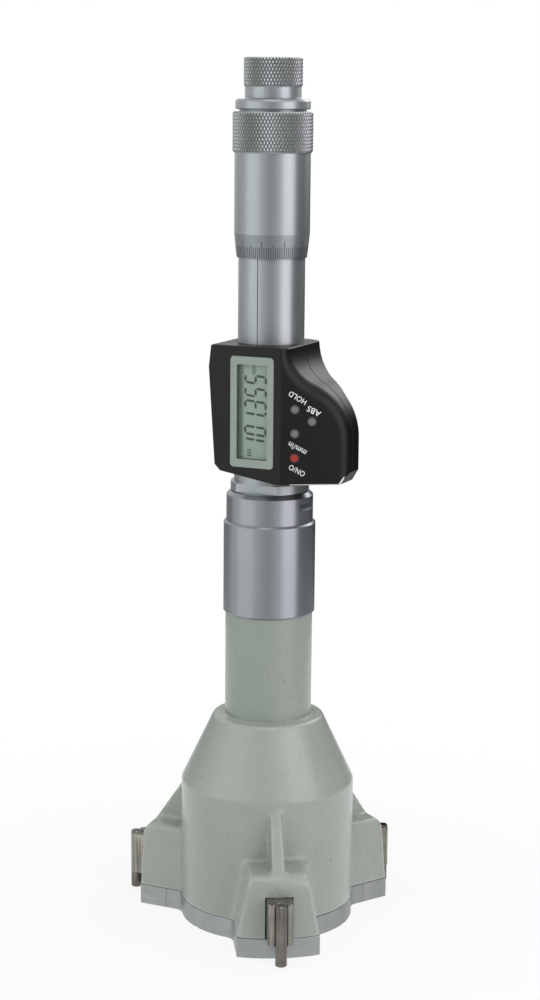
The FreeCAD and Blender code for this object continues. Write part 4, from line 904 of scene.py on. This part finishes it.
ink = moulded("scale_black", srgb(14, 15, 16), 0.7, 0.2, 0.002)
white_print = moulded("label_white", srgb(225, 227, 228), 0.45, 0.2, 0.002)
segment_ink = moulded("segment_grey", srgb(26, 42, 38), 0.6, 0.2, 0.002)
faint_ink = moulded("segment_faint", srgb(66, 86, 77), 0.6, 0.2, 0.002)


def scale_tree():
    """Sets strips on a cone: the bevel's foot, its lean and the marks' lengths are inputs."""
    tree = Tree("scale", ["Radius", "Foot", "Lean", "Short", "Long", "Width", "Depth", "Turn", "Divisions"])
    maths = tree.maths
    count = tree.node("FunctionNodeFloatToInt", None, {0: tree.value("Divisions")})
    line = tree.node("GeometryNodeMeshLine", {"mode": "OFFSET"}, {"Count": count, "Offset": (0, 0, 0)})
    index = tree.node("GeometryNodeInputIndex")
    strip = tree.node("GeometryNodeMeshCube", None, {"Size": (1, 1, 1)})
    strip = tree.node("GeometryNodeTransform", None, {"Geometry": strip, "Translation": (0, 0, 0.5)})
    tenth = 1 - maths("MINIMUM", maths("MODULO", index, 10.0), 1.0)
    fifth = 1 - maths("MINIMUM", maths("MODULO", index, 5.0), 1.0)
    reach = tree.value("Long") - tree.value("Short")
    length = tree.value("Short") + reach * (tenth * (1 - FIFTH_SHARE) + fifth * FIFTH_SHARE)
    turn = tree.value("Turn") + index * (2 * math.pi) / tree.value("Divisions")
    lean = tree.node("ShaderNodeCombineXYZ", None, {"X": 0.0, "Y": tree.value("Lean"), "Z": turn})
    size = {"X": tree.value("Depth") * 2, "Y": tree.value("Width"), "Z": length}
    size = tree.node("ShaderNodeCombineXYZ", None, size)
    spot = {"X": tree.value("Radius") * maths("COSINE", turn),
            "Y": tree.value("Radius") * maths("SINE", turn),
            "Z": tree.value("Foot")}
    spot = tree.node("ShaderNodeCombineXYZ", None, spot)
    placed = tree.node("GeometryNodeSetPosition", None, {"Geometry": line, "Position": spot})
    marks = tree.node("GeometryNodeInstanceOnPoints", None,
                      {"Points": placed, "Instance": strip, "Rotation": lean, "Scale": size})
    return tree.finish(marks)


lean = math.atan2(BARREL_RADIUS - LIP_RADIUS, BEVEL_TOP - THIMBLE_FOOT)
marks = new_piece("scale_marks", bpy.data.meshes.new("scale_marks"))
run_tree(marks, scale_tree(), Radius=LIP_RADIUS, Foot=THIMBLE_FOOT + MARK_FOOT, Lean=lean,
         Short=SHORT_MARK, Long=LONG_MARK, Width=MARK_WIDTH, Depth=PRINT_DEPTH,
         Turn=math.radians(FIRST_LONG_MARK), Divisions=float(DIVISIONS), Material=ink)
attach(marks, "thimble")
SLEEVE_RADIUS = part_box("scale_sleeve")[1].x
SLEEVE_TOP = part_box("scale_sleeve")[1].z
index_line = block("index_line", (-INDEX_HALF, -SLEEVE_RADIUS - PRINT_DEPTH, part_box("front_shell")[1].z),
                   (INDEX_HALF, -SLEEVE_RADIUS + ROOM, SLEEVE_TOP - INDEX_END))
index_line.data.materials.append(ink)
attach(index_line, "root")
print("marks:", len(marks.data.polygons) // 6)

# %% [markdown]
# The display shows its digits on end, with their tops to the left. Each digit is up to seven bars, and a
# bar is a flat six-cornered prism. The digits lean a little, as on most such displays.

# %% The display's digits
BARS = {"a": (0, 2, 1, 2), "b": (1, 1, 1, 2), "c": (1, 0, 1, 1), "d": (0, 0, 1, 0), "e": (0, 0, 0, 1),
        "f": (0, 1, 0, 2), "g": (0, 1, 1, 1)}
DIGITS = {"0": "abcdef", "1": "bc", "3": "abcdg", "5": "acdfg"}
DIGIT_WIDTH, DIGIT_HEIGHT = 2.4 * MM, 6.95 * MM
DIGIT_PITCH = 4.05 * MM
BAR_HALF = 0.38 * MM
BAR_GAP = 0.17 * MM
DIGIT_LEAN = 0.09
POINT_GAP = 0.7 * MM
SEGMENT_DEPTH = 0.03 * MM
window_low, window_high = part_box("display_window")
DIGIT_FOOT_X = window_high.x - 1.0 * MM
DIGIT_FOOT_Z = window_low.z + 3.45 * MM
panel_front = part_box("display_panel")[0].y


def bar_outline(start, end):
    """The six corners of a bar between two points, with pointed ends."""
    start, end = Vector(start), Vector(end)
    along = (end - start).normalized()
    across = Vector((-along.y, along.x)) * BAR_HALF
    start, end = start + along * BAR_GAP, end - along * BAR_GAP
    near, far = start + along * BAR_HALF, end - along * BAR_HALF
    return [start, near + across, far + across, end, far - across, near - across]


def display_point(along, height):
    """A point of the digits: so far on in reading direction, so high above their foot."""
    return (DIGIT_FOOT_X - height, DIGIT_FOOT_Z + along + height * DIGIT_LEAN)


def add_prism(shape, corners, front, back):
    """A flat prism on the display, from its outline as (x, z) points."""
    rings = [[shape.verts.new((x, y, z)) for x, z in corners] for y in (front, back)]
    shape.faces.new(rings[0])
    shape.faces.new(rings[1][::-1])
    for here in range(len(corners)):
        on = (here + 1) % len(corners)
        shape.faces.new((rings[0][on], rings[0][here], rings[1][here], rings[1][on]))


shape = bmesh.new()
front = panel_front - SEGMENT_DEPTH
for place, digit in enumerate("101355"):
    shift = place * DIGIT_PITCH
    for bar in DIGITS[digit]:
        ax, ay, bx, by = BARS[bar]
        ends = [(shift + x * DIGIT_WIDTH, y * DIGIT_HEIGHT / 2) for x, y in ((ax, ay), (bx, by))]
        add_prism(shape, [display_point(*corner) for corner in bar_outline(*ends)], front, panel_front)
dot = 2 * DIGIT_PITCH + DIGIT_WIDTH + POINT_GAP
corners = [(dot - BAR_HALF, -BAR_HALF), (dot + BAR_HALF, -BAR_HALF), (dot + BAR_HALF, BAR_HALF),
           (dot - BAR_HALF, BAR_HALF)]
add_prism(shape, [display_point(*corner) for corner in corners], front, panel_front)
SIGN_LEFT, SIGN_RIGHT = window_low.x + 3.1 * MM, window_low.x + 4.5 * MM
SIGN_FOOT = window_low.z + 0.93 * MM
SIGN_PITCH, SIGN_WIDTH = 0.84 * MM, 0.4 * MM
for row in range(3):
    low = SIGN_FOOT + row * SIGN_PITCH
    high = low + SIGN_WIDTH
    sign = [(SIGN_LEFT, low), (SIGN_RIGHT, low), (SIGN_RIGHT, high), (SIGN_LEFT, high)]
    add_prism(shape, sign, front, panel_front)
bmesh.ops.recalc_face_normals(shape, faces=shape.faces)
digits = piece_of(shape, "display_digits")
digits.data.materials.append(segment_ink)
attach(digits, "root")


# %% [markdown]
# Plain words beside the keys say what they do. They are printed white and read upside down, because the
# instrument stands on its head, and they follow the slanted key face.

# %% The words beside the keys
LETTER_SPACING = 1.06
LETTER_WEIGHT = 0.018
LETTER_SIZE = 2.35 * MM
BIG_LETTER_SIZE = 2.6 * MM


def words(text, size, reading, up, out, middle, name, colour, weight=LETTER_WEIGHT):
    """Flat letters with a little depth, made a mesh and then put in their place."""
    curve = bpy.data.curves.new(name, "FONT")
    curve.body = text
    curve.size = size
    curve.extrude = PRINT_DEPTH
    curve.align_x = "CENTER"
    curve.align_y = "CENTER"
    curve.resolution_u = 6
    curve.space_character = LETTER_SPACING
    curve.offset = size * weight
    letters = bpy.data.objects.new(name, curve)
    bpy.context.scene.collection.objects.link(letters)
    bpy.context.view_layer.update()
    mesh = bpy.data.meshes.new_from_object(letters.evaluated_get(bpy.context.evaluated_depsgraph_get()))
    bpy.data.objects.remove(letters)
    mesh.transform(Matrix.Translation(middle) @ Matrix((reading, up, out)).transposed().to_4x4())
    mesh.materials.clear()
    mesh.materials.append(colour)
    return new_piece(name, mesh)


def label(text, across, height, name, slant, size, narrow, weight):
    """White words on the key face, at so many millimetres across and up, slanted by degrees."""
    slant = math.radians(slant)
    reading = -along_face * math.cos(slant) + Vector((0, 0, math.sin(slant)))
    up = out_of_face.cross(reading)
    reading = reading * narrow
    middle = CREASE + along_face * (across * MM - CREASE.x) / along_face.x + Vector((0, 0, height * MM))
    piece = words(text, size, reading, up, out_of_face, middle, name, white_print, weight)
    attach(piece, "root")


label("HOLD", 15.6, 175.1, "label_hold", 31, LETTER_SIZE, 0.93, 0.01)
label("ABS", 20.0, 170.9, "label_abs", 27, BIG_LETTER_SIZE, 1.0, 0.01)
label("mm/in", 15.6, 159.2, "label_unit", 29, BIG_LETTER_SIZE, 0.93, 0.008)
label("ON/O", 15.6, 152.2, "label_power", 29, LETTER_SIZE, 0.85, 0.006)
UNIT_NARROW = 0.8
UNIT_PLACE = Vector((window_high.x - 5.2 * MM, panel_front, window_high.z - 1.45 * MM))
unit = words("mm", BIG_LETTER_SIZE, Vector((0, 0, UNIT_NARROW)), Vector((-1, 0, 0)), Vector((0, -1, 0)),
             UNIT_PLACE, "display_unit", faint_ink)
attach(unit, "root")

# %% [markdown]
# The studio: a small pale floor, a white world behind it, and four soft lamps, which are two tall ones at
# the front right and front left, one overhead and one behind at the right. Dark cards at the sides give
# the chrome its dark edges, and a pale one in front of it dims the middle. The camera doesn't see them.

# %% Floor and world
FLOOR_RADIUS = 0.6
AIR_LEVEL = 0.62
SHADOW_FLOOR = 0.86
SHADOW_START, SHADOW_END = 0.06, 0.22
disc = bmesh.new()
bmesh.ops.create_circle(disc, cap_ends=True, radius=FLOOR_RADIUS, segments=96)
floor = piece_of(disc, "floor")
pale = Finish("floor_pale", base_color=(0.82, 0.82, 0.82, 1), roughness=0.9)
white = pale.node("ShaderNodeEmission", None, {"Color": (1, 1, 1, 1), "Strength": 1.0})
from_middle = pale.node("ShaderNodeVectorMath", {"operation": "LENGTH"}, {0: pale.here()}, "Value")
share = SHADOW_FLOOR + pale.step(from_middle, SHADOW_START, SHADOW_END) * (1 - SHADOW_FLOOR)
share = pale.background_rays() * share
both = pale.node("ShaderNodeMixShader", None, {0: share, 1: Wire(pale, pale.shader.outputs[0]), 2: white})
pale.feed(pale.tree.nodes["Material Output"].inputs["Surface"], both)
floor.data.materials.append(pale.material)

world = bpy.data.worlds.new("studio")
bpy.context.scene.world = world
world.use_nodes = True
air = Nodes(world.node_tree)
sky = world.node_tree.nodes["Background"].inputs
air.feed(sky["Color"], (1, 1, 1, 1))
air.feed(sky["Strength"], AIR_LEVEL + air.background_rays() * (1 - AIR_LEVEL))


# %% Lamps and cards
AIM_HEIGHT = 0.15
CARD_STEPS = 24


def lamp(name, turn, distance, height, size, level, colour):
    """A soft lamp that faces the instrument, as bright as a white card lit to this level. Turn is in
    degrees to the right of the camera."""
    light = bpy.data.lights.new(name, "AREA")
    light.shape = "RECTANGLE"
    light.size, light.size_y = size
    light.energy = level * math.pi * size[0] * size[1]
    light.color = colour
    holder = bpy.data.objects.new(name, light)
    side = math.radians(turn)
    spot = (toward * math.cos(side) + sideways * math.sin(side)) * distance + Vector((0, 0, height))
    holder.location = spot
    aim = Vector((0, 0, AIM_HEIGHT)) - spot
    holder.rotation_euler = aim.to_track_quat("-Z", "Y").to_euler()
    bpy.context.scene.collection.objects.link(holder)


def card(name, start, end, shade, distance=0.9, low=-0.3, high=0.9):
    """A curved card around the instrument, between two directions in degrees to the right of the camera."""
    shape = bmesh.new()
    turns = np.radians(np.linspace(start, end, CARD_STEPS))
    rows = []
    for height in (low, high):
        row = []
        for turn in turns:
            spot = (toward * math.cos(turn) + sideways * math.sin(turn)) * distance
            row.append(shape.verts.new((spot.x, spot.y, height)))
        rows.append(row)
    for step in range(len(turns) - 1):
        shape.faces.new((rows[0][step], rows[0][step + 1], rows[1][step + 1], rows[1][step]))
    piece = piece_of(shape, name)
    for rays in ("camera", "diffuse", "transmission", "shadow"):
        setattr(piece, "visible_" + rays, False)
    tone = Finish(name, base_color=(shade, shade, shade, 1), roughness=1.0, specular_ior_level=0.0)
    piece.data.materials.append(tone.material)


lamp("lamp_right", 51, 0.85, 0.3, (0.62, 1.0), 1.9, (1.0, 0.905, 0.985))
lamp("lamp_left", -62, 0.9, 0.3, (0.8, 1.0), 0.9, (0.93, 1.0, 0.95))
lamp("lamp_top", 0, 0.3, 1.0, (0.5, 0.5), 1.8, (1.0, 1.0, 1.0))
lamp("lamp_back", 142, 0.9, 0.6, (0.5, 0.4), 2.9, (1.0, 1.0, 1.0))
card("card_right", 70, 174, 0.02, 0.4, high=0.27)
card("card_left", -176, -112, 0.3, 0.4, high=0.16)
card("card_front", -18, 10, 0.6, 0.95)
